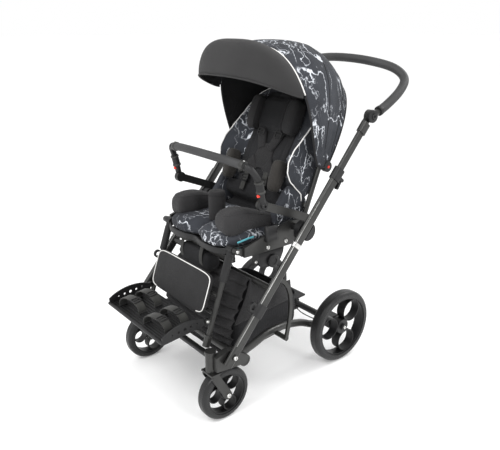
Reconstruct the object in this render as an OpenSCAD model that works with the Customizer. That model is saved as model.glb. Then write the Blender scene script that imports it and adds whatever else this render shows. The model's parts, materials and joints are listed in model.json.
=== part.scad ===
// Special needs buggy: a folding pushchair frame on two castors and two fixed
// wheels, with a tilting seat unit, reclining back, hood, legrest and footplate.
// Millimetres, +Z up, the rider faces -Y, the rider's left is +X.
// The origin is on the floor, midway between the foremost and rearmost points.

/* [Wheels] */
// Rear tyre outer diameter
rear_wheel_d = 290; // [270:5:310]
// Rear tyre width
rear_tyre_w = 48; // [40:1:52]
// Distance from a main tube in to its rear wheel
rear_inset = 59; // [53:1:65]
// Rear axle distance behind the frame datum
rear_axle_y = 350; // [340:2:370]
// Front tyre outer diameter
front_wheel_d = 190; // [180:2:192]
// Front tyre width
front_tyre_w = 42; // [36:1:44]
// Distance from a main tube in to its castor stem
castor_inset = 47; // [44:1:52]
// Castor stem distance ahead of the frame datum
castor_y = 278; // [274:1:284]
// Castor trail
castor_trail = 50; // [42:1:54]
// Depth of the tyre section between tread and rim
tyre_depth = 25; // [20:1:28]
// Wall of the rings in the rims
ring_wall = 3; // [2.5:0.5:5]

/* [Main frame] */
// Distance between the main tube centres
frame_w = 600; // [594:2:640]
// Slope of the main tubes above the floor
tube_angle = 50; // [48:0.5:51]
// Height of the main tube foot
tube_foot_z = 222; // [218:1:230]
// Main tube foot distance ahead of the frame datum
tube_foot_y = 244; // [240:1:250]
// Length of the main tube up to its clamp
tube_len = 736; // [720:2:760]
// Main tube section depth
tube_depth = 36; // [32:1:40]
// Main tube section thickness
tube_thick = 18; // [16:0.5:20]
// Main tube wall
tube_wall = 2; // [1.5:0.25:3]
// Distance along the main tube to its lower pivot
pivot_s = 36; // [32:1:44]
// Distance along the main tube to the tie-down bracket
eye_s = 205; // [195:1:230]
// Radius of the tie-down eye
eye_r = 9; // [7:0.5:10]
// Thickness of the tie-down lug
eye_t = 10; // [8:0.5:12]
// Distance along the main tube to the seat adaptor
adaptor_s = 516; // [514:1:525]
// Distance along the main tube to the cross tube
cross_s = 288; // [280:1:296]

/* [Push handle] */
// Distance along the main tube to the handle knuckle
knuckle_s = 975; // [960:5:1000]
// Knuckle disc radius
knuckle_r = 22; // [20:0.5:24]
// Rise of the handle bar above the knuckles
handle_rise = 178; // [160:2:190]
// Rearward reach of the handle behind the knuckles
handle_reach = 216; // [205:2:230]
// Radius of the foam grip
grip_r = 16; // [14:0.5:18]

/* [Seat] */
// Distance from a main tube in to the seat's side plate
seat_inset = 78; // [76:1:81]
// Height of the seat pan's upper face
seat_z = 556; // [554:0.5:560]
// Front edge of the cushion ahead of the frame datum
seat_front = 125; // [118:1:130]
// Cushion depth from front to back
seat_depth = 240; // [220:2:250]
// Overhang of the cushion's front past the pan's sides
cushion_over = 33; // [20:1:36]
// Cushion height
cushion_h = 54; // [48:1:58]
// Gap beside the cushion
cushion_gap = 26; // [22:1:32]
// Side plate thickness
plate_t = 10; // [8:0.5:11]
// Armrest bar thickness
arm_t = 9; // [8:0.5:10]
// Armrest bar height
arm_h = 28; // [24:1:32]
// Height of the armrest's front knuckle
arm_z = 717; // [705:1:730]
// Armrest front knuckle ahead of the frame datum
arm_y = 56; // [50:1:60]
// Thigh pad length
thigh_l = 230; // [190:2:232]
// Abductor post radius
abductor_r = 30; // [22:1:32]
// Abductor post height
abductor_h = 104; // [90:2:115]

/* [Back] */
// Lean of the backrest from upright
back_lean = 21.5; // [20:0.5:23]
// Length of the back cushion
back_l = 425; // [410:5:440]
// Distance from the seat's side plate in to the backrest's side
back_inset = 28; // [28:1:36]
// Thickness of the back cushion
back_t = 56; // [48:1:60]
// Forward reach of the side wings
wing_reach = 115; // [95:1:118]
// Back frame tube radius
back_tube_r = 9; // [8:0.25:10]

/* [Hood] */
// Crown radius of the hood about its hinge
hood_r = 440; // [425:1:445]
// Radius of the hood's rear edge about its hinge
hood_rear_r = 338; // [325:1:350]
// Distance of the hood's sides outside the seat's side plates
hood_out = 8; // [7:0.5:9]
// Squareness of the hood's arch
hood_square = 3.2; // [2.6:0.1:3.6]
// Thickness of the hood fabric
hood_t = 3; // [2:0.5:4]
// Angle of the front bow from the rearward horizontal
hood_front_a = 112; // [108:0.5:116]
// Angle of the hood's rear edge
hood_rear_a = 60; // [58:0.5:64]
// Forward reach of the visor
visor_l = 150; // [120:2:165]
// Drop of the visor's lip below its bow
visor_drop = 92; // [70:2:100]
// Rise of the visor's middle above a plain curve
visor_bulge = 32; // [20:1:36]

/* [Legrest] */
// Distance from the seat's side plate in to the legrest tube
leg_inset = 32; // [30:0.5:34]
// Slope of the legrest tubes from upright
leg_lean = 19; // [17:0.5:21]
// Length of the legrest from its hinge to its end
leg_l = 340; // [335:1:345]
// Legrest tube radius
leg_r = 9; // [8:0.25:9.5]
// Distance from a legrest tube in to the calf pad's edge
calf_inset = 24; // [22:1:40]
// Calf pad height
calf_h = 130; // [110:2:134]
// Calf pad thickness
calf_t = 18; // [14:0.5:20]
// Distance from a legrest tube in to the footplate's wall
foot_inset = 4; // [4:0.5:10]
// Footplate length
foot_l = 176; // [160:2:180]
// Footplate side wall height
foot_wall_h = 44; // [36:1:48]

/* [Basket] */
// Distance from a castor stem in to the basket's front corner
basket_inset = 45; // [41:1:57]
// Height of the basket floor
basket_z = 140; // [130:2:150]
// Height of the basket tub
basket_h = 160; // [140:2:165]

/* [Hidden] */

$fn = 48;

// Clearances
run_gap = 0.06;
fit_gap = 0.3;
face_gap = 0.05;

// Colours
frame_col = [0.29, 0.29, 0.28];
silver_col = [0.75, 0.75, 0.74];
black_col = [0.1, 0.1, 0.1];
tyre_col = [0.2, 0.2, 0.2];
fabric_col = [0.13, 0.13, 0.14];
grey_fabric_col = [0.26, 0.26, 0.27];
marble_col = [0.2, 0.21, 0.24];
red_col = [0.85, 0.15, 0.1];

// Widths, all from the main tubes
tube_x = frame_w / 2;
rear_x = tube_x - rear_inset;
front_x = tube_x - castor_inset;
plate_x = tube_x - seat_inset;
cushion_w = 2 * (plate_x - cushion_gap);
back_hw = plate_x - back_inset;
back_x = plate_x - 17;
back_top_x = back_x - 65;
hood_hw = plate_x + hood_out;
leg_x = plate_x - leg_inset;
calf_hw = leg_x - calf_inset;
foot_hw = leg_x - foot_inset;
basket_hw = front_x - basket_inset;

// Wheels
rear_r = rear_wheel_d / 2;
front_r = front_wheel_d / 2;
stem_y = -castor_y;
front_axle_y = stem_y + castor_trail;
rear_pin_r = 7;
front_pin_r = 5;

// Castor head and fork
crown_t = 6.5;
crown_gap = 2;
crown_z = front_wheel_d - 2;
head_z = crown_z + crown_t + crown_gap;
head_h = 66;
head_r = 17;
stem_r = 8;
leg_gap = 3;
leg_t = 6;

// Main tube frame: s runs up the tube from its foot, n points behind it
tube_in_x = tube_x - tube_thick / 2;
function tube_pt(s, n = 0) = [
    -tube_foot_y + s * cos(tube_angle) + n * sin(tube_angle),
    tube_foot_z + s * sin(tube_angle) - n * cos(tube_angle)
];
fold_at = tube_pt(pivot_s);
fold_pin_r = 6;
bracket_x = tube_in_x - 3;
base_cross_y = -161;
base_cross_z = 206;
base_cross_r = 15;
front_bar_y = -245;
front_bar_z = 213;
front_bar_r = 11;
tilt_at = tube_pt(adaptor_s, 12);
spindle_r = 12;
adaptor_r = 28;
cross_r = 11;

// Fold strut: a cane shape from its bolt on the lower tube to a pin in the main tube's slot
strut_at = [24, 222];
strut_pin_s = 322;
strut_travel = 150;
strut_w = 14;
strut_t = 8;
strut_pin_r = 5;
strut_x = tube_in_x - 9;
strut_top = tube_pt(strut_pin_s);

// Push handle
knuckle_at = tube_pt(knuckle_s);
clamp_h = 44;
stem_foot_s = 500;
sleeve_s = knuckle_s - 70;
sleeve_h = 40;
stub_r = 11;

// Seat
arm_x = plate_x + plate_t + 2;
grab_x = arm_x + arm_t + fit_gap;
recline_at = [165, 605];
grab_disc_t = 10;
knob_r = 19;
pan_t = 8;

// Back: local Y runs down the lean, local Z runs up the back
back_bar_n = -12;
back_bar_r = 8;
hood_at = [258, 795];
hood_n = 2 / hood_square;

// Legrest
leg_hinge = [-141, 570];
leg_pin_r = 6;
sleeve_r = 12;
leg_sleeve_l = 95;
foot_pin_r = 5;
foot_at_s = 252;
foot_at_n = -22;
foot_tilt = 6;

// Overall middle in Y, from the footplate lip to the handle bar
function leg_pt(s, n = 0) = [
    leg_hinge[0] - s * sin(leg_lean) + n * cos(leg_lean),
    leg_hinge[1] - s * cos(leg_lean) - n * sin(leg_lean)
];
foot_at = leg_pt(foot_at_s, foot_at_n);
lip_y = foot_at[0] - foot_l * cos(foot_tilt);
handle_y = knuckle_at[0] + handle_reach + grip_r;
y_mid = (lip_y + handle_y) / 2;

function spow(v, e) = sign(v) * pow(abs(v), e);
function smooth_path(p, n) = [
    for (i = [0 : len(p) - 2])
        let (a = p[max(i - 1, 0)], b = p[i], c = p[i + 1], d = p[min(i + 2, len(p) - 1)])
            for (k = [0 : n - 1])
                let (t = k / n)
                    0.5 * (2 * b + (c - a) * t + (2 * a - 5 * b + 4 * c - d) * t * t
                        + (3 * b - a - 3 * c + d) * t * t * t),
    p[len(p) - 1]
];
function unit(v) = v / norm(v);

module place() {
    translate([0, -y_mid, 0]) children();
}

module sides() {
    for (m = [0, 1]) mirror([m, 0, 0]) children();
}

module on_side(m) {
    mirror([m, 0, 0]) children();
}

// A round bar along X
module x_bar(x0, x1, at, r) {
    translate([x0, at[0], at[1]]) rotate([0, 90, 0]) cylinder(h = x1 - x0, r = r);
}

// A plate in the YZ plane, from x0 to x1
module x_plate(x0, x1) {
    translate([x0, 0, 0]) rotate([90, 0, 90]) linear_extrude(x1 - x0) children();
}

// A flat bar outline with round ends and joints along points
module path_2d(points, r) {
    half = r - 0.02;
    for (p = points) translate(p) circle(r);
    for (i = [1 : len(points) - 1])
        let (p = points[i - 1], d = points[i] - p)
            translate(p) rotate(atan2(d[1], d[0])) translate([0, -half]) square([norm(d), 2 * half]);
}

module link_2d(p, q, r) {
    path_2d([p, q], r);
}

module flat_oval(t, d) {
    square([t, d - t], center = true);
    for (e = [-1, 1]) translate([0, e * (d - t) / 2]) circle(t / 2);
}

module on_tube(s, n = 0) {
    translate([tube_x, tube_pt(s, n)[0], tube_pt(s, n)[1]]) rotate([tube_angle - 90, 0, 0]) children();
}

// A closed round tube swept along points, with flat ends
module swept_tube(p, r, ref, n = 16) {
    last = len(p) - 1;
    rings = [
        for (i = [0 : last])
            let (
                t = unit(p[min(i + 1, last)] - p[max(i - 1, 0)]),
                u = unit(cross(t, ref)),
                v = cross(t, u)
            )
                for (k = [0 : n - 1]) p[i] + r * (cos(360 * k / n) * u + sin(360 * k / n) * v)
    ];
    walls = [
        for (i = [0 : last - 1], k = [0 : n - 1])
            let (a = i * n + k, b = i * n + (k + 1) % n)
                each [[a, b, b + n], [a, b + n, a + n]]
    ];
    foot = [for (k = [1 : n - 2]) [0, k + 1, k]];
    top = [for (k = [1 : n - 2]) [last * n, last * n + k, last * n + k + 1]];
    polyhedron(rings, [for (f = concat(walls, foot, top)) [f[2], f[1], f[0]]]);
}

// A closed solid between two grids of points of the same size
module thick_sheet(outer, inner) {
    rows = len(outer);
    cols = len(outer[0]);
    count = rows * cols;
    points = [for (g = [outer, inner], row = g) each row];
    skins = [
        for (i = [0 : rows - 2], j = [0 : cols - 2])
            let (a = i * cols + j, b = a + 1, c = a + cols + 1, d = a + cols)
                each [
                    [a, b, c], [a, c, d],
                    [count + a, count + c, count + b], [count + a, count + d, count + c]
                ]
    ];
    ends = [
        for (j = [0 : cols - 2], i = [0, rows - 1])
            let (a = i * cols + j, b = a + 1)
                each i == 0
                    ? [[a, count + b, b], [a, count + a, count + b]]
                    : [[a, b, count + b], [a, count + b, count + a]]
    ];
    edges = [
        for (i = [0 : rows - 2], j = [0, cols - 1])
            let (a = i * cols + j, d = a + cols)
                each j == 0
                    ? [[a, d, count + d], [a, count + d, count + a]]
                    : [[a, count + d, d], [a, count + a, count + d]]
    ];
    polyhedron(points, concat(skins, ends, edges));
}

// A stuffed pad: a rounded box whose faces crown and whose sides draw in
module stuffed(size, e_rise = 0.55, e_plan = 0.4, cols = 28, rows = 10) {
    rings = [
        for (i = [1 : rows - 1], k = [0 : cols - 1])
            let (b = 180 * i / rows - 90, a = 360 * k / cols)
                [
                    size[0] / 2 * spow(cos(b), e_rise) * spow(cos(a), e_plan),
                    size[1] / 2 * spow(cos(b), e_rise) * spow(sin(a), e_plan),
                    size[2] / 2 * spow(sin(b), e_rise)
                ]
    ];
    points = concat([[0, 0, -size[2] / 2]], rings, [[0, 0, size[2] / 2]]);
    top = len(points) - 1;
    walls = [
        for (i = [0 : rows - 3], k = [0 : cols - 1])
            let (a = 1 + i * cols + k, b = 1 + i * cols + (k + 1) % cols)
                each [[a, b + cols, b], [a, a + cols, b + cols]]
    ];
    caps = [
        for (k = [0 : cols - 1])
            let (b = (k + 1) % cols, last = 1 + (rows - 2) * cols)
                each [[0, 1 + k, 1 + b], [top, last + b, last + k]]
    ];
    polyhedron(points, concat(walls, caps));
}

// Base

module castor_head(m) {
    plate = [
        [stem_y, head_z + 8], [front_bar_y, front_bar_z - 12], [base_cross_y, base_cross_z - 11],
        [base_cross_y + 12, base_cross_z + 16], [fold_at[0] + 14, fold_at[1] + 12],
        [fold_at[0] - 8, fold_at[1] + 17], [stem_y, head_z + head_h - 6]
    ];
    on_side(m) {
        difference() {
            union() {
                translate([front_x, stem_y, head_z]) cylinder(h = head_h, r = head_r);
                translate([front_x, stem_y, head_z + head_h]) cylinder(h = 8, r = head_r + 2);
                x_plate(front_x + 9, bracket_x) {
                    polygon(plate);
                    translate([base_cross_y, base_cross_z]) circle(base_cross_r + 6);
                }
                translate([front_x - head_r + 1, stem_y, front_bar_z - 13])
                    cube([2 * head_r - 8, front_bar_y - stem_y + 13, 26]);
            }
            translate([front_x, stem_y, head_z - 1]) cylinder(h = head_h - 4, r = stem_r + run_gap);
            x_bar(front_x, bracket_x + 1, [base_cross_y, base_cross_z], base_cross_r + face_gap);
        }
        x_bar(bracket_x - 1, tube_x + tube_thick / 2 + 1, fold_at, fold_pin_r);
        x_bar(tube_x + tube_thick / 2 + fit_gap, tube_x + tube_thick / 2 + 5, fold_at, fold_pin_r + 4);
    }
}

module castor_head_left() color(frame_col) place() castor_head(0);

module castor_head_right() color(frame_col) place() castor_head(1);

lower_tube_r = 14;
lower_end_x = rear_x - rear_tyre_w / 2 - 27;
bracket_y = rear_axle_y - 25;

module lower_tubes() {
    route = [
        [front_x - 8, base_cross_y + base_cross_r, base_cross_z + 2], [front_x - 12, -85, 222],
        [front_x - 20, -20, 235], [front_x - 32, 60, 230], [lower_end_x + 6, 175, 195],
        [lower_end_x + 1, bracket_y - 84, rear_r + 20],
        [lower_end_x, bracket_y - 42, rear_r + 10], [lower_end_x, bracket_y, rear_r + 10]
    ];
    color(frame_col) place() sides() {
        difference() {
            swept_tube(smooth_path(route, 4), lower_tube_r, [1, 0, 0], 16);
            x_bar(0, front_x + 20, [base_cross_y, base_cross_z], base_cross_r + face_gap);
        }
        x_bar(front_x - 34, strut_x - fit_gap, strut_at, 9);
        x_bar(strut_x - 1, strut_x + strut_t, strut_at, strut_pin_r);
    }
}

module front_cross_bar() {
    reach = front_x - head_r + 1 - face_gap;
    color(black_col) place() x_bar(-reach, reach, [front_bar_y, front_bar_z], front_bar_r);
}

module base_cross_tube() {
    reach = bracket_x - 1;
    color(frame_col) place() x_bar(-reach, reach, [base_cross_y, base_cross_z], base_cross_r);
}

beam_r = 13;
hub_x = rear_x - rear_tyre_w / 2 - 6;
clip_x = 14;

module rear_axle() {
    color(black_col) place() {
        x_bar(-hub_x, hub_x, [rear_axle_y, rear_r], beam_r);
        sides() {
            translate([lower_end_x - 14, bracket_y + 2 * fit_gap, rear_r - 20])
                cube([hub_x - lower_end_x + 14, 50, 45]);
            x_bar(hub_x - 1, rear_x + rear_tyre_w / 2 + 4, [rear_axle_y, rear_r], rear_pin_r);
            x_bar(rear_x + rear_tyre_w / 2 - 2, rear_x + rear_tyre_w / 2 + 5, [rear_axle_y, rear_r], 13);
        }
        translate([clip_x - 10, rear_axle_y - 30, rear_r - 16]) cube([10, 24, 12]);
    }
}

module brake_cable() {
    run_y = rear_axle_y - 22;
    run_z = rear_r - 10;
    end_x = lower_end_x - 14;
    route = [
        [clip_x + fit_gap, run_y, run_z], [clip_x + 12, run_y, run_z], [60, run_y - 3, run_z - 5],
        [120, run_y - 2, run_z - 4], [end_x - 12, run_y, run_z], [end_x - fit_gap, run_y, run_z]
    ];
    color(black_col) place() swept_tube(smooth_path(route, 3), 2.2, [0, 0, 1], 8);
}

pedal_x0 = 30 - lower_end_x;
pedal_l = lower_end_x - 40;

module brake_pedal() {
    flange = [
        [rear_axle_y, rear_r + 13], [rear_axle_y + 52, rear_r + 16], [rear_axle_y + 58, rear_r + 22],
        [rear_axle_y + 50, rear_r + 25], [rear_axle_y, rear_r + 21]
    ];
    color(black_col) place() difference() {
        union() {
            x_bar(pedal_x0, pedal_x0 + pedal_l, [rear_axle_y, rear_r], beam_r + 9);
            x_plate(pedal_x0, pedal_x0 + pedal_l) polygon(flange);
        }
        x_bar(pedal_x0 - 1, pedal_x0 + pedal_l + 1, [rear_axle_y, rear_r], beam_r + run_gap);
    }
}

basket_front = base_cross_y + base_cross_r + fit_gap;
basket_rear = 205;
basket_wall = 4;

module tub_2d(d) {
    rear_hw = lower_end_x - lower_tube_r - 8;
    polygon([
        [-basket_hw + d, basket_front + d], [basket_hw - d, basket_front + d],
        [rear_hw - d, basket_rear - d], [-rear_hw + d, basket_rear - d]
    ]);
}

module basket() {
    color(black_col) place() difference() {
        translate([0, 0, basket_z]) linear_extrude(basket_h) tub_2d(0);
        translate([0, 0, basket_z + basket_wall]) linear_extrude(basket_h) tub_2d(basket_wall);
    }
}

// The pleated upper fabric: a front panel up to the cross tube and two side gussets
module basket_panel() {
    foot = [basket_front, basket_z + basket_h + fit_gap];
    at = tube_pt(cross_s);
    head = [at[0] - cross_r - basket_wall - fit_gap, at[1] + cross_r];
    pleats = 5;
    depth = 7;
    edge = [
        for (i = [0 : 2 * pleats])
            foot + (head - foot) * i / (2 * pleats) + (i % 2 == 1 ? [-depth, 0] : [0, 0])
    ];
    back = [for (i = [2 * pleats : -1 : 0]) edge[i] + [basket_wall, 0]];
    gusset = [
        [foot[0] + basket_wall, foot[1]], [150, foot[1]], [40, foot[1] + 50],
        [head[0] + basket_wall, head[1] - 4]
    ];
    color(black_col) place() {
        x_plate(-basket_hw, basket_hw) polygon(concat(edge, back));
        difference() {
            sides() x_plate(basket_hw - basket_wall, basket_hw) polygon(gusset);
            x_bar(-tube_x, tube_x, at, cross_r + fit_gap);
        }
    }
}

// Wheels

module rim(x, y, r, w, pin_r) {
    seat_r = r - tyre_depth * (r > 120 ? 1 : 0.8);
    inner_r = seat_r - 6;
    hub_r = r * 0.2;
    ring_r = (inner_r + 3 - hub_r) / 2;
    ring_at = hub_r + ring_r - 1;
    translate([x, y, r]) rotate([0, 90, 0]) difference() {
        union() {
            difference() {
                cylinder(h = w, r = seat_r, center = true);
                cylinder(h = w + 2, r = inner_r, center = true);
            }
            cylinder(h = w - 2, r = hub_r, center = true);
            for (k = [0 : 2]) rotate(120 * k + 20) translate([ring_at, 0, 0])
                cylinder(h = w - 4, r = ring_r, center = true);
        }
        for (k = [0 : 2]) rotate(120 * k + 20) translate([ring_at, 0, 0])
            cylinder(h = w, r = ring_r - ring_wall, center = true);
        cylinder(h = w + 2, r = pin_r + run_gap, center = true);
    }
}

module tyre(x, y, r, w) {
    seat_r = r - tyre_depth * (r > 120 ? 1 : 0.8) + face_gap;
    round_r = min(w * 0.3, (r - seat_r) * 0.8);
    translate([x, y, r]) rotate([0, 90, 0]) rotate_extrude($fn = 72) difference() {
        union() {
            translate([seat_r, -w / 2]) square([r - seat_r - round_r, w]);
            translate([seat_r, round_r - w / 2]) square([r - seat_r, w - 2 * round_r]);
            for (e = [-1, 1]) translate([r - round_r, e * (w / 2 - round_r)]) circle(round_r);
        }
        translate([0, -w]) square([seat_r, 2 * w]);
    }
}

rear_rim_w = rear_tyre_w - 8;
front_rim_w = front_tyre_w - 6;

module rear_rim_left() color(black_col) place() rim(rear_x, rear_axle_y, rear_r, rear_rim_w, rear_pin_r);

module rear_rim_right() color(black_col) place() rim(-rear_x, rear_axle_y, rear_r, rear_rim_w, rear_pin_r);

module rear_tyre_left() color(tyre_col) place() tyre(rear_x, rear_axle_y, rear_r, rear_tyre_w);

module rear_tyre_right() color(tyre_col) place() tyre(-rear_x, rear_axle_y, rear_r, rear_tyre_w);

module front_rim_left() {
    color(black_col) place() rim(front_x, front_axle_y, front_r, front_rim_w, front_pin_r);
}

module front_rim_right() {
    color(black_col) place() rim(-front_x, front_axle_y, front_r, front_rim_w, front_pin_r);
}

module front_tyre_left() color(tyre_col) place() tyre(front_x, front_axle_y, front_r, front_tyre_w);

module front_tyre_right() color(tyre_col) place() tyre(-front_x, front_axle_y, front_r, front_tyre_w);

// A castor fork with its stem, two legs and the axle bolt
module fork(m) {
    leg_in = front_tyre_w / 2 + leg_gap;
    reach = leg_in + leg_t;
    on_side(m) {
        translate([front_x, stem_y, crown_z]) {
            cylinder(h = head_z + head_h - 8 - crown_z, r = stem_r);
            translate([-reach, -17, 0]) cube([2 * reach, 34, crown_t]);
            cylinder(h = crown_t + crown_gap - fit_gap, r = head_r - 2);
        }
        for (x = [front_x - reach, front_x + leg_in]) x_plate(x, x + leg_t)
            link_2d([stem_y + 2, crown_z - 10], [front_axle_y, front_r], 15);
        x_bar(front_x - reach - 1, front_x + reach + 1, [front_axle_y, front_r], front_pin_r);
    }
}

module fork_left() color(frame_col) place() fork(0);

module fork_right() color(frame_col) place() fork(1);

// Main frame

module main_tube(m) {
    slot_s = strut_pin_s - strut_pin_r - 7;
    on_side(m) difference() {
        on_tube(0) linear_extrude(tube_len) difference() {
            flat_oval(tube_thick, tube_depth);
            flat_oval(tube_thick - 2 * tube_wall, tube_depth - 2 * tube_wall);
        }
        x_bar(tube_in_x - 1, tube_x + tube_thick, fold_at, fold_pin_r + run_gap);
        on_tube(slot_s) translate([-tube_thick / 2 - 1, -strut_pin_r - 3, 0])
            cube([tube_wall + 1, 2 * strut_pin_r + 6, strut_travel + 2 * strut_pin_r + 14]);
    }
}

module main_tube_left() color(frame_col) place() main_tube(0);

module main_tube_right() color(frame_col) place() main_tube(1);

module frame_cross_tube() {
    reach = tube_in_x - face_gap;
    color(frame_col) place() x_bar(-reach, reach, tube_pt(cross_s), cross_r);
}

// Seat adaptors: a hub on the inner face, a rounded cover behind the tube, a spindle into the seat
module seat_adaptors() {
    color(black_col) place() sides() {
        x_bar(tube_in_x - 28, tube_in_x - face_gap, tilt_at, adaptor_r);
        x_bar(plate_x - 1, tube_in_x - 27, tilt_at, spindle_r);
        difference() {
            x_bar(tube_in_x - 1, tube_x + tube_thick / 2 - 2, tilt_at, adaptor_r + 4);
            on_tube(adaptor_s - 60) translate([-tube_thick / 2 - face_gap, -tube_depth, 0])
                cube([2 * tube_thick, 1.5 * tube_depth + face_gap, 120]);
        }
    }
}

// A collar round the main tube with a tie-down eye on its front
module tie_down_brackets() {
    collar_h = 46;
    eye_n = -tube_depth / 2 - eye_r - 9;
    color(black_col) place() sides() difference() {
        union() {
            on_tube(eye_s - collar_h / 2) linear_extrude(collar_h)
                flat_oval(tube_thick + 8, tube_depth + 8);
            x_plate(tube_x - eye_t / 2, tube_x + eye_t / 2)
                link_2d(tube_pt(eye_s, eye_n), tube_pt(eye_s, -tube_depth / 2), eye_r + 7);
        }
        on_tube(eye_s - collar_h) linear_extrude(2 * collar_h)
            flat_oval(tube_thick + 2 * face_gap, tube_depth + 2 * face_gap);
        x_bar(tube_x - eye_t, tube_x + eye_t, tube_pt(eye_s, eye_n), eye_r);
    }
}

stem_t = tube_thick - 2 * tube_wall - 1;
stem_d = tube_depth - 2 * tube_wall - 1;
lever_n = tube_depth / 2 + 11;
lever_s = tube_len - 6;
lever_pin_r = 3;

module height_clamps() {
    color(black_col) place() sides() {
        difference() {
            union() {
                on_tube(tube_len - clamp_h / 2) linear_extrude(clamp_h)
                    flat_oval(tube_thick + 9, tube_depth + 9);
                for (e = [-1, 1]) x_plate(tube_x + e * 9 - 2.5, tube_x + e * 9 + 2.5)
                    link_2d(tube_pt(lever_s, lever_n), tube_pt(lever_s, tube_depth / 2), 6);
            }
            on_tube(tube_len - clamp_h) linear_extrude(clamp_h + face_gap)
                flat_oval(tube_thick + 2 * face_gap, tube_depth + 2 * face_gap);
            on_tube(tube_len - 1) linear_extrude(clamp_h)
                flat_oval(stem_t + 2 * fit_gap, stem_d + 2 * fit_gap);
        }
        x_bar(tube_x - 9, tube_x + 9, tube_pt(lever_s, lever_n), lever_pin_r);
    }
}

// A quick-release lever that lies down the back of the clamp
module clamp_lever(m) {
    on_side(m) difference() {
        union() {
            x_bar(tube_x - 6, tube_x + 6, tube_pt(lever_s, lever_n), 6);
            x_plate(tube_x - 6, tube_x + 6)
                link_2d(tube_pt(lever_s, lever_n), tube_pt(lever_s - 30, lever_n + 4), 4.5);
        }
        x_bar(tube_x - 7, tube_x + 7, tube_pt(lever_s, lever_n), lever_pin_r + run_gap);
    }
}

module clamp_lever_left() color(black_col) place() clamp_lever(0);

module clamp_lever_right() color(black_col) place() clamp_lever(1);

module fold_struts() {
    bow = [strut_at[0] + 56, strut_top[1] - 28];
    steps = 8;
    route = [
        for (i = [0 : steps])
            let (t = i / steps)
                (1 - t) * (1 - t) * strut_at + 2 * t * (1 - t) * bow + t * t * strut_top
    ];
    color(frame_col) place() sides() {
        difference() {
            x_plate(strut_x, strut_x + strut_t) {
                path_2d(route, strut_w / 2);
                translate(strut_at) circle(strut_w / 2 + 2);
            }
            x_bar(strut_x - 1, strut_x + strut_t + 1, strut_at, strut_pin_r + run_gap);
        }
        x_bar(strut_x + 1, tube_in_x + tube_wall - fit_gap, strut_top, strut_pin_r);
    }
}

// Push handle

module handle_stem(m) {
    on_side(m) {
        on_tube(stem_foot_s) linear_extrude(sleeve_s - stem_foot_s + 1) flat_oval(stem_t, stem_d);
        on_tube(sleeve_s) linear_extrude(sleeve_h) flat_oval(tube_thick + 4, tube_depth + 4);
        x_plate(tube_x - 10, tube_x) link_2d(tube_pt(sleeve_s + sleeve_h - 14), knuckle_at, 13);
        x_bar(tube_x - 10, tube_x, knuckle_at, knuckle_r);
        x_bar(tube_x - 1, tube_x + 13, knuckle_at, fold_pin_r);
    }
}

module handle_stem_left() color(frame_col) place() handle_stem(0);

module handle_stem_right() color(frame_col) place() handle_stem(1);

function handle_pt(x, reach, rise) = [
    x, knuckle_at[0] + reach * handle_reach, knuckle_at[1] + rise * handle_rise
];
handle_half = [
    handle_pt(tube_x + 6, 0.06, 0.03), handle_pt(tube_x + 4, 0.36, 0.17), handle_pt(tube_x - 4, 0.74, 0.42),
    handle_pt(tube_x - 30, 0.985, 0.64), handle_pt(tube_x - 80, 0.95, 0.84),
    handle_pt(tube_x - 180, 0.83, 0.96)
];
handle_steps = 6;
handle_route = smooth_path(concat(
    handle_half,
    [handle_pt(0, 0.77, 1)],
    [for (i = [5 : -1 : 0]) [-handle_half[i][0], handle_half[i][1], handle_half[i][2]]]
), handle_steps);

module handle_tube() {
    color(frame_col) place() sides() difference() {
        union() {
            x_bar(tube_x + fit_gap, tube_x + 12, knuckle_at, knuckle_r);
            swept_tube([for (i = [0 : handle_steps]) handle_route[i]], stub_r, [1, 0, 0], 20);
        }
        x_bar(0, tube_x, knuckle_at, knuckle_r + 1);
        x_bar(tube_x - 1, tube_x + 20, knuckle_at, fold_pin_r + run_gap);
    }
}

module handle_grip() {
    count = len(handle_route);
    end = handle_route[handle_steps];
    first = end + 0.7 * unit(handle_route[handle_steps + 1] - end);
    middle = [for (i = [handle_steps + 1 : count - 2 - handle_steps]) handle_route[i]];
    color(black_col) place()
        swept_tube(concat([first], middle, [[-first[0], first[1], first[2]]]), grip_r, [0, 0.3, -1], 18);
}

// Seat unit

module seat_frame() {
    plate = [
        [-118, seat_z - 10], [-118, seat_z + 24], [tilt_at[0] - 20, tilt_at[1] + 24],
        [recline_at[0], recline_at[1] + 20], [recline_at[0] + 14, recline_at[1] - 14],
        [tilt_at[0], seat_z - 10]
    ];
    lug_x = leg_x + 16;
    lip_hw = leg_x - sleeve_r - 14;
    color(frame_col) place() {
        translate([-plate_x - 1, -seat_front + 3, seat_z - pan_t])
            cube([2 * plate_x + 2, seat_depth + 20, pan_t]);
        translate([-lip_hw, -seat_front - cushion_over + 3, seat_z - pan_t])
            cube([2 * lip_hw, cushion_over + 1, pan_t]);
        sides() {
            difference() {
                x_plate(plate_x, plate_x + plate_t) {
                    polygon(plate);
                    translate(recline_at) circle(20);
                }
                x_bar(plate_x - 2, plate_x + plate_t + 1, tilt_at, spindle_r + run_gap);
            }
            x_plate(lug_x, plate_x + 2) link_2d(leg_hinge, [-110, seat_z + 4], 11);
            x_bar(leg_x - 14, lug_x + 1, leg_hinge, leg_pin_r);
            x_bar(back_x - 13, plate_x + 1, recline_at, rear_pin_r);
        }
    }
}

rail_y = -seat_front + 4;

module basket_rail() {
    color(frame_col) place() {
        translate([-leg_x + 14, rail_y - 8, seat_z - pan_t - 36]) cube([2 * leg_x - 28, 16, 18]);
        sides() translate([leg_x - 28, rail_y, seat_z - pan_t - 20]) cube([12, 8, 20 - face_gap]);
    }
}

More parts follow.
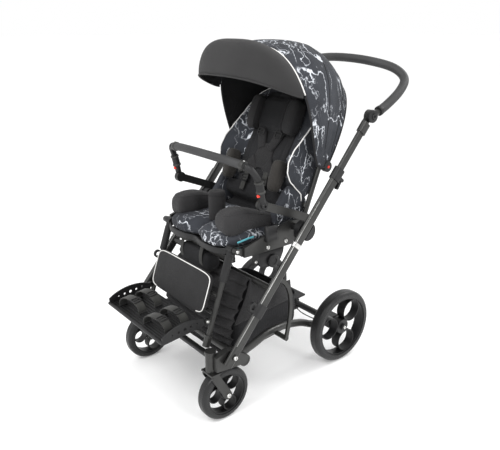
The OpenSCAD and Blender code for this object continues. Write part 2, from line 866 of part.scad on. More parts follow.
// The seat cushion: crowned, drawn in at its sides, with two lobes parted at the front
// that overhang the pan between the legrest hinges
module seat_cushion() {
    rows = 12;
    cols = 20;
    base = seat_z + fit_gap;
    front = -seat_front - cushion_over;
    depth = seat_depth + cushion_over;
    top = [
        for (i = [0 : rows])
            [
                for (j = [0 : cols])
                    let (
                        u = 1 - 2 * j / cols, v = i / rows,
                        crown = pow(1 - pow(abs(u), 6), 0.5) * pow(1 - pow(abs(2 * v - 1), 8), 0.5),
                        parting = 9 * exp(-pow(u / 0.08, 2)) * pow(1 - v, 2),
                        notch = 14 * exp(-pow(u / 0.12, 2)) * pow(1 - v, 6),
                        narrow = 1 - 0.14 * min(1, max(0, 1.5 - 6 * v))
                    )
                        [
                            u * cushion_w / 2 * narrow * (0.97 + 0.03 * abs(2 * v - 1)),
                            front + depth * v + notch,
                            base + cushion_h * (0.35 + 0.65 * crown) - parting
                        ]
            ]
    ];
    bottom = [for (row = top) [for (p = row) [p[0], p[1], base]]];
    color(marble_col) place() thick_sheet(top, bottom);
}

thigh_size = [94, thigh_l, 72];
thigh_z = seat_z + cushion_h - 1.1 + thigh_size[2] / 2;
thigh_y = thigh_l / 2 - seat_front - cushion_over + 10;

module thigh_pad(m) {
    on_side(m) translate([cushion_w / 2 - 12 - thigh_size[0] / 2, thigh_y, thigh_z])
        stuffed(thigh_size);
}

module thigh_pad_left() color(fabric_col) place() thigh_pad(0);

module thigh_pad_right() color(fabric_col) place() thigh_pad(1);

module abductor() {
    edge = 6;
    color(fabric_col) place() translate([0, 66 - seat_front, seat_z + cushion_h + 2 * fit_gap])
        rotate_extrude() {
            square([abductor_r, abductor_h - edge]);
            square([abductor_r - edge, abductor_h]);
            translate([abductor_r - edge, abductor_h - edge]) circle(edge);
        }
}

arm_at = [-arm_y, arm_z];
arm_rear = [148, 634];
arm_elbow = [153, 600];
arm_foot = [122, 573];

module armrest(m) {
    on_side(m) {
        x_plate(arm_x, arm_x + arm_t) {
            link_2d(arm_at, arm_rear, arm_h / 2);
            translate(arm_at) circle(knob_r);
            path_2d([arm_rear, arm_elbow, arm_foot], 13);
        }
        for (p = [arm_elbow, arm_foot]) x_bar(plate_x + plate_t + face_gap, arm_x + 1, p, 6);
        x_bar(arm_x + arm_t - 1, grab_x + grab_disc_t + 2, arm_at, fold_pin_r);
    }
}

module armrest_left() color(frame_col) place() armrest(0);

module armrest_right() color(frame_col) place() armrest(1);

// Grab bar: knuckle discs, raked posts and a bowed grip between two collars
grab_mid_x = grab_x + grab_disc_t / 2;
grip_end_x = grab_mid_x - 48;
post_r = 11;
post_route = smooth_path([
    [grab_mid_x, -arm_y, arm_z], [grab_mid_x, -arm_y - 8, arm_z + 43], [grab_mid_x, -arm_y - 18, arm_z + 83],
    [grab_mid_x - 10, -arm_y - 34, arm_z + 115], [grab_mid_x - 30, -arm_y - 42, arm_z + 129],
    [grip_end_x, -arm_y - 42, arm_z + 129]
], 4);
grab_grip_r = 14;
button_r = 5;
button_l = 12;
grab_button_at = [grab_mid_x, -arm_y - 6.5 - post_r - 4, arm_z + 35];

module grab_bar_frame() {
    color(frame_col) place() sides() difference() {
        union() {
            x_bar(grab_x, grab_x + grab_disc_t, arm_at, knob_r);
            swept_tube(post_route, post_r, [1, 0.2, 0], 16);
        }
        translate([arm_x, -200, arm_z - knob_r]) cube([grab_x - arm_x, 400, 2 * knob_r + 2]);
        x_bar(arm_x, grab_x + 3 * grab_disc_t, arm_at, fold_pin_r + run_gap);
        translate(grab_button_at) rotate([-90, 0, 0]) cylinder(h = button_l + 5, r = button_r + fit_gap);
    }
}

module grab_bar_grip() {
    end = post_route[len(post_route) - 1];
    x = end[0] - 4 * fit_gap;
    half = [
        [x, end[1], end[2]], [x - 40, end[1], end[2]],
        [x * 0.5, end[1] - 12, end[2] + 4], [0, end[1] - 18, end[2] + 6]
    ];
    far_half = [for (i = [2 : -1 : 0]) [-half[i][0], half[i][1], half[i][2]]];
    route = smooth_path(concat(half, far_half), 4);
    color(black_col) place() swept_tube(route, grab_grip_r, [0, 0, 1], 16);
}

module grab_button(m) {
    on_side(m) translate(grab_button_at) rotate([-90, 0, 0]) cylinder(h = button_l, r = button_r);
}

module grab_button_left() color(red_col) place() grab_button(0);

module grab_button_right() color(red_col) place() grab_button(1);

// Back unit

module on_back() {
    translate([0, recline_at[0], recline_at[1]]) rotate([-back_lean, 0, 0]) children();
}

shell_n = back_bar_n - back_bar_r - fit_gap;
shell_s = 25;
hood_pin_r = 8;
hood_step = 6;
hub_end_x = hood_hw - hood_t - 2 * hood_step - fit_gap;
hood_button_x = hood_hw - 2.3;
hood_button_l = 6.5;

module back_frame() {
    color(frame_col) place() {
        sides() difference() {
            union() {
                on_back() translate([back_x, 0, 0]) cylinder(h = 300, r = back_tube_r);
                x_bar(back_x - 10.5, back_x + 10.5, recline_at, 18);
                x_bar(back_x - 4, hub_end_x, hood_at, 16);
                x_bar(hub_end_x - 1, hood_hw + 2, hood_at, hood_pin_r);
            }
            x_bar(back_x - 12, back_x + 12, recline_at, rear_pin_r + run_gap);
            x_bar(hood_button_x - 4, hood_hw + 3, hood_at, button_r + fit_gap);
        }
        on_back() {
            for (s = [60, 240]) x_bar(-back_x - 2, back_x + 2, [back_bar_n, s], back_bar_r);
            x_bar(-back_top_x - 2, back_top_x + 2, [back_bar_n, 410], back_bar_r);
            for (e = [-1, 1]) translate([e * back_top_x, 0, 232]) cylinder(h = 196, r = back_tube_r);
        }
    }
}

// The wing's share of its reach at heights along the back
wing_line = [
    [25, 0], [70, 0.02], [92, 0.11], [106, 0.4], [124, 0.73], [149, 0.92], [182, 1],
    [224, 0.93], [270, 0.73], [306, 0.57], [340, 0.42], [397, 0.24], [450, 0.19]
];
wing_edge_t = 4;
lumbar_share = 0.96;
head_share = 0.71;
function ease(t) = let (k = min(1, max(0, t))) k * k * (3 - 2 * k);
function back_half(v) = back_hw * max(0.25, sqrt(max(0, 1 - pow(max(0, 2 * v - 1), 5))));
function back_middle(v) =
    back_t * (lumbar_share - (lumbar_share - head_share) * ease((v - 0.32) / 0.36))
        * (1 - 0.3 * pow(abs(2 * v - 1), 12));
function back_edge(v) = wing_edge_t + wing_reach * lookup(shell_s + back_l * v, wing_line);
function back_skin(u, v, front) =
    let (middle = back_middle(v), depth = middle + (back_edge(v) - middle) * pow(abs(u), 5))
        [u * back_half(v), shell_n - front * depth, shell_s + back_l * v];

// The back cushion: a tub, thinner behind the head, with wings that curve forward at chest height
module back_cushion() {
    rows = 18;
    cols = 18;
    skins = [
        for (front = [1, 0])
            [for (i = [0 : rows]) [for (j = [0 : cols]) back_skin(1 - 2 * j / cols, i / rows, front)]]
    ];
    color(marble_col) place() on_back() thick_sheet(skins[0], skins[1]);
}

back_face_n = shell_n - back_t * lumbar_share;

module trunk_pads() {
    size = [34, 56, 112];
    wing_gap = 12.2;
    color(fabric_col) place() sides() on_back()
        translate([back_hw - 62, back_face_n - wing_gap - size[1] / 2, 128]) stuffed(size);
}

// A chest harness: a butterfly panel lying on the back cushion
module harness() {
    half = [
        [30, 130], [62, 118], [74, 136], [66, 170], [48, 196], [40, 226],
        [52, 252], [58, 276], [40, 284], [24, 258], [12, 230]
    ];
    far_half = [for (i = [len(half) - 1 : -1 : 0]) [-half[i][0], half[i][1]]];
    foot_s = 118;
    foot_gap = 4.3;
    lean = 4;
    color(fabric_col) place() on_back()
        translate([0, back_face_n - foot_gap, foot_s]) rotate([90 - lean, 0, 0]) translate([0, -foot_s, 0])
            linear_extrude(6) polygon(concat([[0, 150]], half, [[0, 222]], far_half));
}

head_face_n = shell_n - back_t * head_share;
headrest_s = 355;

module headrest() {
    panel = [190, 30, 126];
    lobe = [50, 54, 112];
    color(fabric_col) place() on_back() {
        translate([0, head_face_n - 0.4 - panel[1] / 2, headrest_s]) stuffed(panel);
        for (e = [-1, 1]) translate([e * 106, head_face_n - 1.75 - lobe[1] / 2, headrest_s - 4]) stuffed(lobe);
    }
}

// Hood: three nested arches about one hinge, each reaching under the next
hood_foot = 30;
hood_cols = 24;
function hood_at_t(w, r, t, phi) =
    let (reach = max(hood_foot, r * pow(abs(sin(t)), hood_n)))
        [w * spow(cos(t), hood_n), hood_at[0] + reach * cos(phi), hood_at[1] + reach * sin(phi)];
function hood_crown(phi) =
    let (k = (phi - hood_rear_a) / (hood_front_a - hood_rear_a))
        hood_rear_r + (hood_r - hood_rear_r) * k * (1.42 - 0.42 * k);
function arch(inset, phi) = [
    for (j = [0 : hood_cols])
        hood_at_t(hood_hw - inset, hood_crown(phi) - inset, 180 - 180 * j / hood_cols, phi)
];
function visor_share(j) = pow(max(0.01, (abs(sin(180 * j / hood_cols)) - 0.42) / 0.58), 0.8);
function peak(inset, v) =
    let (row = arch(inset, hood_front_a))
        [
            for (j = [0 : hood_cols])
                row[j] + visor_share(j)
                    * [
                        0, -visor_l * sin(90 * v),
                        visor_bulge * sin(180 * v) - visor_drop * (1 - cos(90 * v))
                    ]
        ];

module hood_hub(inset) {
    sides() difference() {
        x_bar(hood_hw - inset - hood_t, hood_hw - inset, hood_at, hood_foot + 8);
        x_bar(hood_hw - inset - hood_t - 1, hood_hw - inset + 1, hood_at, hood_pin_r + run_gap);
    }
}

module hood_arch(inset, from, to) {
    rows = 4;
    thick_sheet(
        [for (i = [0 : rows]) arch(inset, from + (to - from) * i / rows)],
        [for (i = [0 : rows]) arch(inset + hood_t, from + (to - from) * i / rows)]
    );
    hood_hub(inset);
}

module hood_rear() color(marble_col) place() hood_arch(2 * hood_step, hood_rear_a, hood_front_a - 28);

module hood_mid() color(marble_col) place() hood_arch(hood_step, hood_front_a - 32, hood_front_a - 15);

module hood_visor() {
    rows = 6;
    start = hood_front_a - 17;
    skins = [
        for (inset = [0, hood_t])
            concat(
                [for (i = [0 : 3]) arch(inset, start + (hood_front_a - start) * i / 4)],
                [for (i = [0 : rows]) peak(inset, i / rows)]
            )
    ];
    color(grey_fabric_col) place() {
        thick_sheet(skins[0], skins[1]);
        hood_hub(0);
    }
}

module hood_button(m) {
    on_side(m) x_bar(hood_button_x, hood_button_x + hood_button_l, hood_at, button_r);
}

module hood_button_left() color(red_col) place() hood_button(0);

module hood_button_right() color(red_col) place() hood_button(1);

// Legrest and footplate

module on_leg() {
    translate([0, leg_hinge[0], leg_hinge[1]]) rotate([-leg_lean, 0, 0]) children();
}

module legrest_sleeves() {
    color(black_col) place() sides() difference() {
        union() {
            x_bar(leg_x - 12, leg_x + 16 - fit_gap, leg_hinge, 13);
            on_leg() translate([leg_x, 0, -leg_sleeve_l]) cylinder(h = leg_sleeve_l, r = sleeve_r);
        }
        x_bar(leg_x - 13, leg_x + 17, leg_hinge, leg_pin_r + run_gap);
        on_leg() translate([leg_x, 0, -leg_sleeve_l - 1])
            cylinder(h = leg_sleeve_l - 14, r = leg_r + run_gap);
    }
}

calf_bar_r = 7;
calf_bar_n = -7.5;

module legrest_tubes() {
    tube_top = leg_sleeve_l - 27;
    color(frame_col) place() {
        sides() {
            on_leg() translate([leg_x, 0, -leg_l]) {
                cylinder(h = leg_l - tube_top, r = leg_r);
                cylinder(h = 40, r = leg_r + 4);
            }
            x_plate(leg_x - 3, leg_x + 3) link_2d(foot_at, leg_pt(foot_at_s, 0), 8);
            x_bar(leg_x - 13, leg_x - 2, foot_at, foot_pin_r);
        }
        on_leg() for (s = [162, 222]) x_bar(-leg_x, leg_x, [calf_bar_n, -s], calf_bar_r);
    }
}

module calf_pad() {
    color(grey_fabric_col) place() on_leg()
        translate([0, calf_bar_n - calf_bar_r - fit_gap - calf_t / 2, -102 - calf_h / 2])
            rotate([90, 0, 0]) stuffed([2 * calf_hw, calf_h, calf_t], 0.35, 0.35, 32, 8);
}

foot_floor = -9;
foot_t = 5;

module on_foot() {
    translate([0, foot_at[0], foot_at[1]]) rotate([foot_tilt, 0, 0]) children();
}

// A tray with arched side walls, graded holes and a rolled front lip
module footplate() {
    wall_t = 5;
    steps = 14;
    foot = foot_floor - foot_t;
    run = foot_l - 14;
    wall = concat(
        [for (i = [0 : steps]) [-8 - run * i / steps, foot + foot_wall_h * sqrt(sin(18 + 144 * i / steps))]],
        [[-8 - run, foot], [-8, foot]]
    );
    sizes = [3, 4.5, 6, 4.5, 3];
    color(black_col) place() on_foot() {
        translate([-foot_hw + 1, -8 - run, foot]) cube([2 * foot_hw - 2, run, foot_t]);
        x_bar(-foot_hw, foot_hw, [-8 - run, foot + 6], 6);
        sides() difference() {
            x_plate(foot_hw - wall_t, foot_hw) {
                polygon(wall);
                link_2d([0, 0], [-14, -2], 10);
            }
            x_bar(foot_hw - wall_t - 1, foot_hw + 1, [0, 0], foot_pin_r + run_gap);
            for (i = [0 : 4])
                x_bar(foot_hw - wall_t - 1, foot_hw + 1, [-36 - 24 * i, foot + 20], sizes[i]);
        }
    }
}

// Two arched webbing bands over each foot
module foot_straps() {
    band_r = 38;
    band_t = 2.5;
    strap_x = foot_hw / 2 - 7;
    color(black_col) place() on_foot() for (x = [-strap_x, strap_x], y = [-64, -128])
        translate([x, y, foot_floor + fit_gap]) rotate([90, 0, 0]) linear_extrude(25, center = true)
            difference() {
                circle(band_r);
                circle(band_r - band_t);
                translate([-50, -100]) square([100, 100]);
            }
}

castor_head_left();
castor_head_right();
lower_tubes();
front_cross_bar();
base_cross_tube();
rear_axle();
brake_cable();
basket();
basket_panel();
brake_pedal();
rear_rim_left();
rear_tyre_left();
rear_rim_right();
rear_tyre_right();
fork_left();
fork_right();
front_rim_left();
front_tyre_left();
front_rim_right();
front_tyre_right();
main_tube_left();
main_tube_right();
frame_cross_tube();
seat_adaptors();
tie_down_brackets();
height_clamps();
clamp_lever_left();
clamp_lever_right();
fold_struts();
handle_stem_left();
handle_stem_right();
handle_tube();
handle_grip();
seat_frame();
basket_rail();
seat_cushion();
thigh_pad_left();
thigh_pad_right();
abductor();
armrest_left();
armrest_right();
grab_bar_frame();
grab_bar_grip();
grab_button_left();
grab_button_right();
back_frame();
back_cushion();
trunk_pads();
harness();
headrest();
hood_rear();
hood_mid();
hood_visor();
hood_button_left();
hood_button_right();
legrest_sleeves();
legrest_tubes();
calf_pad();
footplate();
foot_straps();
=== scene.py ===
"""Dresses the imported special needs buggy: fabrics, foam, metal, fittings, floor, light and camera.

Metres, +Z up, the rider faces -Y and the rider's left is +X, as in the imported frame.
"""

import json
from math import asin, copysign, cos, degrees, exp, pi, radians, sin

import bmesh
import bpy
from mathutils import Matrix, Vector
from mathutils import noise as mnoise


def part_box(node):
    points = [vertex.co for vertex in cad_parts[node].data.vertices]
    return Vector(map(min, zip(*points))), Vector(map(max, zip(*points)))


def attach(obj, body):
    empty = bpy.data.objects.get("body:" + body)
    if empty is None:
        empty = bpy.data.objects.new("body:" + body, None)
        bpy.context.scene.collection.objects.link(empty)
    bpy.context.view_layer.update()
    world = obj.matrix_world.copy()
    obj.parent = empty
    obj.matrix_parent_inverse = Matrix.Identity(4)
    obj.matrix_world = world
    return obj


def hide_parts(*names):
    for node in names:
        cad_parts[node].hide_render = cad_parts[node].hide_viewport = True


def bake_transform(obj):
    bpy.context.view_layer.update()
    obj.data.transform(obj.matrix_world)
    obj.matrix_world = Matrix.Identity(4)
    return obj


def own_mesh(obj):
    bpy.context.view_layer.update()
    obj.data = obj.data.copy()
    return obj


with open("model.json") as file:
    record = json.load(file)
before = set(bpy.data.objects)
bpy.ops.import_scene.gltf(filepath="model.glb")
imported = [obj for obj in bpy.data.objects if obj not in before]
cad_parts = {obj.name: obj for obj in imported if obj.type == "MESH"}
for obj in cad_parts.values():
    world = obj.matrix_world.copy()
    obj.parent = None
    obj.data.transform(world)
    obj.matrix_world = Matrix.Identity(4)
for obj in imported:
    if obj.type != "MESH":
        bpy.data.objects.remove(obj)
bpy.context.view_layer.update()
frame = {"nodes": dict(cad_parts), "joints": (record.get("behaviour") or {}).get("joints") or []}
nodes = frame["nodes"]
joints = {joint["name"]: joint for joint in frame["joints"]}
scene = bpy.context.scene


# Small maths helpers

def vec(x, y, z):
    return Vector((x, y, z))


def lerp(a, b, t):
    return a + (b - a) * t


def smooth(t):
    t = max(0.0, min(1.0, t))
    return t * t * (3 - 2 * t)


def signed_power(value, power):
    return copysign(abs(value) ** power, value)


def turn(count, offset=0.0):
    """Angles once round a circle."""
    return [2 * pi * (k + offset) / count for k in range(count)]


def sweep(first, last, steps):
    """Angles from one number of degrees to another, both ends included."""
    return [radians(lerp(first, last, k / steps)) for k in range(steps + 1)]


def rounded(angles, half_x, half_y, power, power_y=None):
    """Points of a rounded rectangle; a power of 1 gives an ellipse, less gives squarer corners."""
    return [(half_x * signed_power(cos(a), power), half_y * signed_power(sin(a), power_y or power))
            for a in angles]


def spline(points, steps):
    """Catmull-Rom points through the given ones."""
    p = [Vector(q) for q in points]
    out = []
    for i in range(len(p) - 1):
        a, b, c, d = p[max(i - 1, 0)], p[i], p[i + 1], p[min(i + 2, len(p) - 1)]
        for k in range(steps):
            t = k / steps
            cubic = (3 * b - a - 3 * c + d) * t ** 3
            square = (2 * a - 5 * b + 4 * c - d) * t ** 2
            out.append(0.5 * (2 * b + (c - a) * t + square + cubic))
    out.append(p[-1])
    return out


def mirrored(points):
    """A route from the left to the middle, carried on to the right."""
    return points + [vec(-p.x, p.y, p.z) for p in reversed(points[:-1])]


def ripple(point, scale, amount):
    """A small fixed wrinkle at a point."""
    return amount * mnoise.noise(point * scale)


# Places taken from the frame's own joints and boxes

def pivot(name):
    """A joint's place, brought to the middle plane."""
    at = joints[name].get("pos_m") or (0, 0, 0)
    return vec(0, at[1], at[2])


def box_of(name):
    low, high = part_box(name)
    return Vector(low), Vector(high)


def lean_frame(origin, lean):
    """Point maker for a piece that leans back: x across, n behind, s along."""
    a = radians(lean)
    along, behind = vec(0, sin(a), cos(a)), vec(0, cos(a), -sin(a))

    def point(x, n, s):
        return origin + vec(x, 0, 0) + behind * n + along * s
    return point


SIDES = (("left", 1), ("right", -1))
TUBE_SLOPE = 50
TUBE_X = 0.300
TUBE_PIVOT_S = 0.036
BACK_LEAN = 21.5
LEG_LEAN = 19
LEG_X = 0.190
FOOT_TILT = 6

tube_at = lean_frame(pivot("frame_fold"), 90 - TUBE_SLOPE)
back_at = lean_frame(pivot("back_recline"), BACK_LEAN)
leg_at = lean_frame(pivot("legrest_angle"), LEG_LEAN)
hood_hinge = pivot("hood_fold")
ACROSS, ALONG_Y, UP = vec(1, 0, 0), vec(0, 1, 0), vec(0, 0, 1)
BACK_UP = back_at(0, 0, 1) - back_at(0, 0, 0)


def tube_point(s, n, side, out):
    """A point by a main tube: s along it, n behind its line, out from its middle."""
    return tube_at(side * (TUBE_X + out), n, s - TUBE_PIVOT_S)


def foot_at(x, y, z):
    """Point in the footplate's own frame: y behind its hinge, z above it."""
    a = radians(FOOT_TILT)
    return pivot("footplate_flip") + vec(x, y * cos(a) - z * sin(a), y * sin(a) + z * cos(a))


# Materials

MIX_SHARE, MIX_A, MIX_B, MIX_RESULT = 0, 6, 7, 2
CREASE_HEIGHT = 3.0
WEAVE_HEIGHT = 0.5
WEAVE_DISTORTION = 0.6


class Look:
    """A material and short ways to add nodes to it. In input names an underscore stands for a space."""

    def __init__(self, name):
        self.material = bpy.data.materials.new(name)
        self.material.use_nodes = True
        self.tree = self.material.node_tree

    def put(self, socket, value):
        """Link another node's output to a socket, or set the socket's value."""
        if isinstance(value, bpy.types.NodeSocket):
            self.tree.links.new(value, socket)
        else:
            socket.default_value = (*value, 1) if socket.type == "RGBA" else value

    def add(self, kind, **settings):
        node = self.tree.nodes.new(kind)
        for key, value in settings.items():
            if key.replace("_", " ") in node.inputs:
                self.put(node.inputs[key.replace("_", " ")], value)
            else:
                setattr(node, key, value)
        return node

    def shade(self, **inputs):
        for key, value in inputs.items():
            self.put(self.tree.nodes["Principled BSDF"].inputs[key.replace("_", " ")], value)
        return self.material

    def coordinates(self, scale=(1, 1, 1), rotation=(0, 0, 0)):
        source = self.add("ShaderNodeTexCoord").outputs["Object"]
        return self.add("ShaderNodeMapping", Vector=source, Scale=scale, Rotation=rotation).outputs["Vector"]

    def noise(self, vector, scale, detail=4.0, rough=0.55, distortion=0.0):
        return self.add("ShaderNodeTexNoise", Vector=vector, Scale=scale, Detail=detail, Roughness=rough,
                        Distortion=distortion).outputs["Fac"]

    def ramp(self, value, low, colour, high, light):
        node = self.add("ShaderNodeValToRGB", Fac=value)
        for element, place, tone in zip(node.color_ramp.elements, (low, high), (colour, light)):
            element.position = place
            element.color = (*tone, 1)
        return node.outputs["Color"]

    def level(self, value, low, high, out_low=0.0, out_high=1.0):
        return self.add("ShaderNodeMapRange", From_Min=low, From_Max=high, To_Min=out_low, To_Max=out_high,
                        Value=value).outputs["Result"]

    def maths(self, operation, *values, kind="ShaderNodeMath"):
        node = self.add(kind, operation=operation)
        for socket, value in zip(node.inputs, values):
            self.put(socket, value)
        return node.outputs[0]

    def times(self, a, b):
        return self.maths("MULTIPLY", a, b)

    def mix(self, share, a, b):
        node = self.add("ShaderNodeMix", data_type="RGBA")
        for key, value in ((MIX_SHARE, share), (MIX_A, a), (MIX_B, b)):
            self.put(node.inputs[key], value)
        return node.outputs[MIX_RESULT]

    def bump(self, height, strength, distance):
        node = self.add("ShaderNodeBump", Height=height, Strength=strength, Distance=distance)
        self.shade(Normal=node.outputs["Normal"])

    def cloth_bump(self, vector, creases, threads, strength, distance):
        """Soft creases and crossed fine threads, so many to the metre."""
        weave = self.times(*(
            self.add("ShaderNodeTexWave", bands_direction=way, Scale=threads, Distortion=WEAVE_DISTORTION,
                     Vector=vector).outputs["Fac"] for way in ("X", "Z")))
        height = self.maths("ADD", self.times(creases, CREASE_HEIGHT), self.times(weave, WEAVE_HEIGHT))
        self.bump(height, strength, distance)


def fabric(name, colour, light, threads=260, rough=0.92, sheen=0.04, bump_size=0.0006):
    """Woven cloth with slight fading, soft creases and a fine weave."""
    look = Look(name)
    vector = look.coordinates()
    fade = look.noise(vector, 7.0, 5.0)
    grain = look.times(look.noise(vector, 900.0, 2.0), 0.35)
    look.cloth_bump(vector, look.noise(vector, 16.0, 3.0, 0.5, 0.4), threads, 0.55, bump_size * 3)
    return look.shade(
        Base_Color=look.mix(grain, look.ramp(fade, 0.3, colour, 0.72, light), light),
        Roughness=look.level(fade, 0.2, 0.8, rough - 0.1, rough),
        Sheen_Weight=sheen, Sheen_Roughness=0.5, Specular_IOR_Level=0.25)


# The veins of the marble cloth: scale, width, rotation, scale of its patches, where they start, strength
VEINS = (
    (6.8, 0.0072, (0.35, 0.2, 0.5), 12.0, 0.37, 1.0),
    (9.5, 0.0066, (1.1, 0.7, 2.1), 10.0, 0.41, 0.85),
    (15.0, 0.0085, (2.3, 1.2, 0.9), 9.0, 0.46, 0.55),
)
BLOT_ROTATION = (0.9, 0.1, 2.6)


def marble_fabric(name):
    """Dark slate cloth printed with thin, crackled, branching pale veins."""
    look = Look(name)
    plain = look.coordinates()
    rough = look.add("ShaderNodeTexNoise", Vector=plain, Scale=34.0, Detail=3.0,
                     Roughness=0.6).outputs["Color"]
    centred = look.maths("SUBTRACT", rough, (0.5, 0.5, 0.5), kind="ShaderNodeVectorMath")
    shake = look.add("ShaderNodeVectorMath", operation="SCALE", Scale=0.030, Vector=centred).outputs["Vector"]

    def ridge(scale, width, rotation):
        """A line along the middle level of a slow noise, shaken so that it wanders as a crack does."""
        stretched = look.coordinates((1.0, 1.15, 0.6), rotation)
        moved = look.maths("ADD", stretched, shake, kind="ShaderNodeVectorMath")
        value = look.noise(moved, scale, 2.0, 0.5, 0.5)
        away = look.maths("ABSOLUTE", look.maths("SUBTRACT", value, 0.5))
        return look.level(away, width * 0.35, width, 1.0, 0.0)

    def patches(scale, rotation, low, high):
        return look.level(look.noise(look.coordinates((1, 1, 1), rotation), scale, 4.0), low, high)

    lines = [look.times(look.times(ridge(scale, width, rotation), patches(spots, rotation, low, low + 0.1)),
                        strength)
             for scale, width, rotation, spots, low, strength in VEINS]
    blots = look.times(ridge(VEINS[0][0], 0.026, VEINS[0][2]), patches(26.0, BLOT_ROTATION, 0.60, 0.72))
    pale = lines[0]
    for more in (*lines[1:], look.times(blots, 0.7)):
        pale = look.maths("MAXIMUM", pale, more)
    ground = look.ramp(look.noise(plain, 5.0, 5.0), 0.3, (0.018, 0.0195, 0.024), 0.7, (0.050, 0.054, 0.064))
    look.cloth_bump(plain, look.noise(plain, 14.0, 3.0), 300, 0.5, 0.0015)
    return look.shade(Base_Color=look.mix(pale, ground, (0.70, 0.73, 0.78)), Roughness=0.85,
                      Sheen_Weight=0.05, Specular_IOR_Level=0.2)


def metal(name, colour, light, metallic=0.85, rough=0.38, brushed=True):
    """Satin anodised or painted tube with fine streaks and slight wear."""
    look = Look(name)
    streak = look.noise(look.coordinates((1, 1, 0.12) if brushed else (1, 1, 1)), 180.0, 3.0)
    cloud = look.noise(look.coordinates(), 12.0, 4.0)
    look.bump(streak, 0.08, 0.0004)
    return look.shade(Base_Color=look.ramp(cloud, 0.3, colour, 0.75, light), Metallic=metallic,
                      Roughness=look.level(streak, 0.3, 0.7, rough - 0.07, rough + 0.08))


def plastic(name, colour, light, rough=0.45):
    """Moulded plastic with a fine spark-eroded grain."""
    look = Look(name)
    vector = look.coordinates()
    cloud = look.noise(vector, 18.0, 4.0)
    look.bump(look.noise(vector, 700.0, 2.0), 0.18, 0.0004)
    return look.shade(Base_Color=look.ramp(cloud, 0.3, colour, 0.75, light), Specular_IOR_Level=0.35,
                      Roughness=look.level(cloud, 0.3, 0.7, rough - 0.06, rough + 0.08))


def tyre_rubber(name, centre):
    """Glossy dark solid tyre with turned groove lines round its shoulders, the grooves darkened in colour as
    painted shade.
    """
    look = Look(name)
    place = look.add("ShaderNodeTexCoord").outputs["Object"]
    split = look.add("ShaderNodeSeparateXYZ", Vector=place).outputs
    across, *away = (look.maths("SUBTRACT", split[axis], middle) for axis, middle in zip("XYZ", centre))
    reach = look.maths("SQRT", look.maths("ADD", *(look.times(way, way) for way in away)))
    grooves, ribs = (look.level(look.maths("SINE", look.times(run, pitch)), low, 1.0)
                     for run, pitch, low in ((reach, 1500.0, 0.86), (across, 900.0, 0.9)))
    line = look.maths("MAXIMUM", grooves, ribs)
    cloud = look.noise(place, 30.0, 4.0)
    colour = look.ramp(cloud, 0.3, (0.008, 0.008, 0.0085), 0.75, (0.016, 0.016, 0.0165))
    look.bump(look.maths("SUBTRACT", look.times(cloud, 0.15), line), 0.5, 0.0012)
    # The groove lines darken the base colour: painted shade in the grooves.
    return look.shade(Base_Color=look.mix(look.times(line, 0.6), colour, (0.008, 0.008, 0.008)),
                      Roughness=look.level(cloud, 0.3, 0.7, 0.30, 0.42), Specular_IOR_Level=0.35)


def foam(name):
    """Closed-cell handle foam."""
    look = Look(name)
    vector = look.coordinates()
    cells = look.add("ShaderNodeTexVoronoi", Vector=vector, Scale=900.0).outputs["Distance"]
    cloud = look.noise(vector, 10.0, 4.0)
    look.bump(cells, 0.25, 0.0006)
    return look.shade(Base_Color=look.ramp(cloud, 0.3, (0.028, 0.028, 0.029), 0.7, (0.05, 0.05, 0.051)),
                      Roughness=look.level(cloud, 0.3, 0.7, 0.55, 0.7), Specular_IOR_Level=0.35)


def webbing(name, colour, light):
    """Ribbed strap webbing."""
    look = Look(name)
    vector = look.coordinates()
    ribs = look.add("ShaderNodeTexWave", bands_direction="DIAGONAL", Scale=120.0,
                    Vector=vector).outputs["Fac"]
    look.bump(ribs, 0.4, 0.0008)
    return look.shade(Base_Color=look.ramp(look.noise(vector, 40.0, 3.0), 0.3, colour, 0.7, light),
                      Roughness=0.8, Sheen_Weight=0.2)


FRAME_METAL = metal("frame_metal", (0.038, 0.038, 0.037), (0.058, 0.058, 0.056), 0.7, 0.34)
SILVER = metal("silver_fittings", (0.55, 0.55, 0.54), (0.68, 0.68, 0.66), 0.95, 0.28, False)
# Bright metal for a thin strip along each main tube's front edge: a painted highlight where light catches
# that edge.
PAINTED_TUBE_HIGHLIGHT = metal("painted_tube_highlight", (0.30, 0.30, 0.29), (0.42, 0.42, 0.41), 0.9, 0.3, False)
BLACK_METAL = metal("black_metal", (0.02, 0.02, 0.021), (0.035, 0.035, 0.035), 0.5, 0.42, False)
BLACK_PLASTIC = plastic("black_plastic", (0.007, 0.007, 0.0075), (0.014, 0.014, 0.0145))
GREY_PLASTIC = plastic("grey_plastic", (0.025, 0.025, 0.024), (0.042, 0.042, 0.040))
RED_PLASTIC = plastic("red_plastic", (0.75, 0.03, 0.015), (0.85, 0.06, 0.03), 0.25)
FOAM = foam("foam")
BLACK_FABRIC = fabric("black_fabric", (0.010, 0.010, 0.011), (0.022, 0.022, 0.024))
PAD_FABRIC = fabric("pad_fabric", (0.013, 0.013, 0.014), (0.024, 0.023, 0.024), 340, 0.88, 0.06)
WARM_FABRIC = fabric("warm_black_fabric", (0.020, 0.018, 0.016), (0.034, 0.031, 0.028), 340, 0.85, 0.08)
GREY_FABRIC = fabric("grey_fabric", (0.022, 0.0215, 0.022), (0.033, 0.0325, 0.033), 320, 0.82, 0.05)
THIGH_FABRIC = fabric("thigh_fabric", (0.018, 0.0175, 0.0185), (0.033, 0.032, 0.0335), 340, 0.86, 0.08)
CALF_FABRIC = fabric("calf_fabric", (0.011, 0.0108, 0.0115), (0.021, 0.0205, 0.0215), 300, 0.8, 0.06)
LINING = fabric("hood_lining", (0.006, 0.006, 0.007), (0.013, 0.013, 0.014))
MARBLE = marble_fabric("marble_fabric")
PIPING = fabric("white_piping", (0.72, 0.71, 0.69), (0.85, 0.84, 0.82), 500, 0.75, 0.1, 0.0002)
CYAN = fabric("cyan_stripe", (0.09, 0.42, 0.50), (0.18, 0.58, 0.66), 500, 0.7, 0.1, 0.0002)
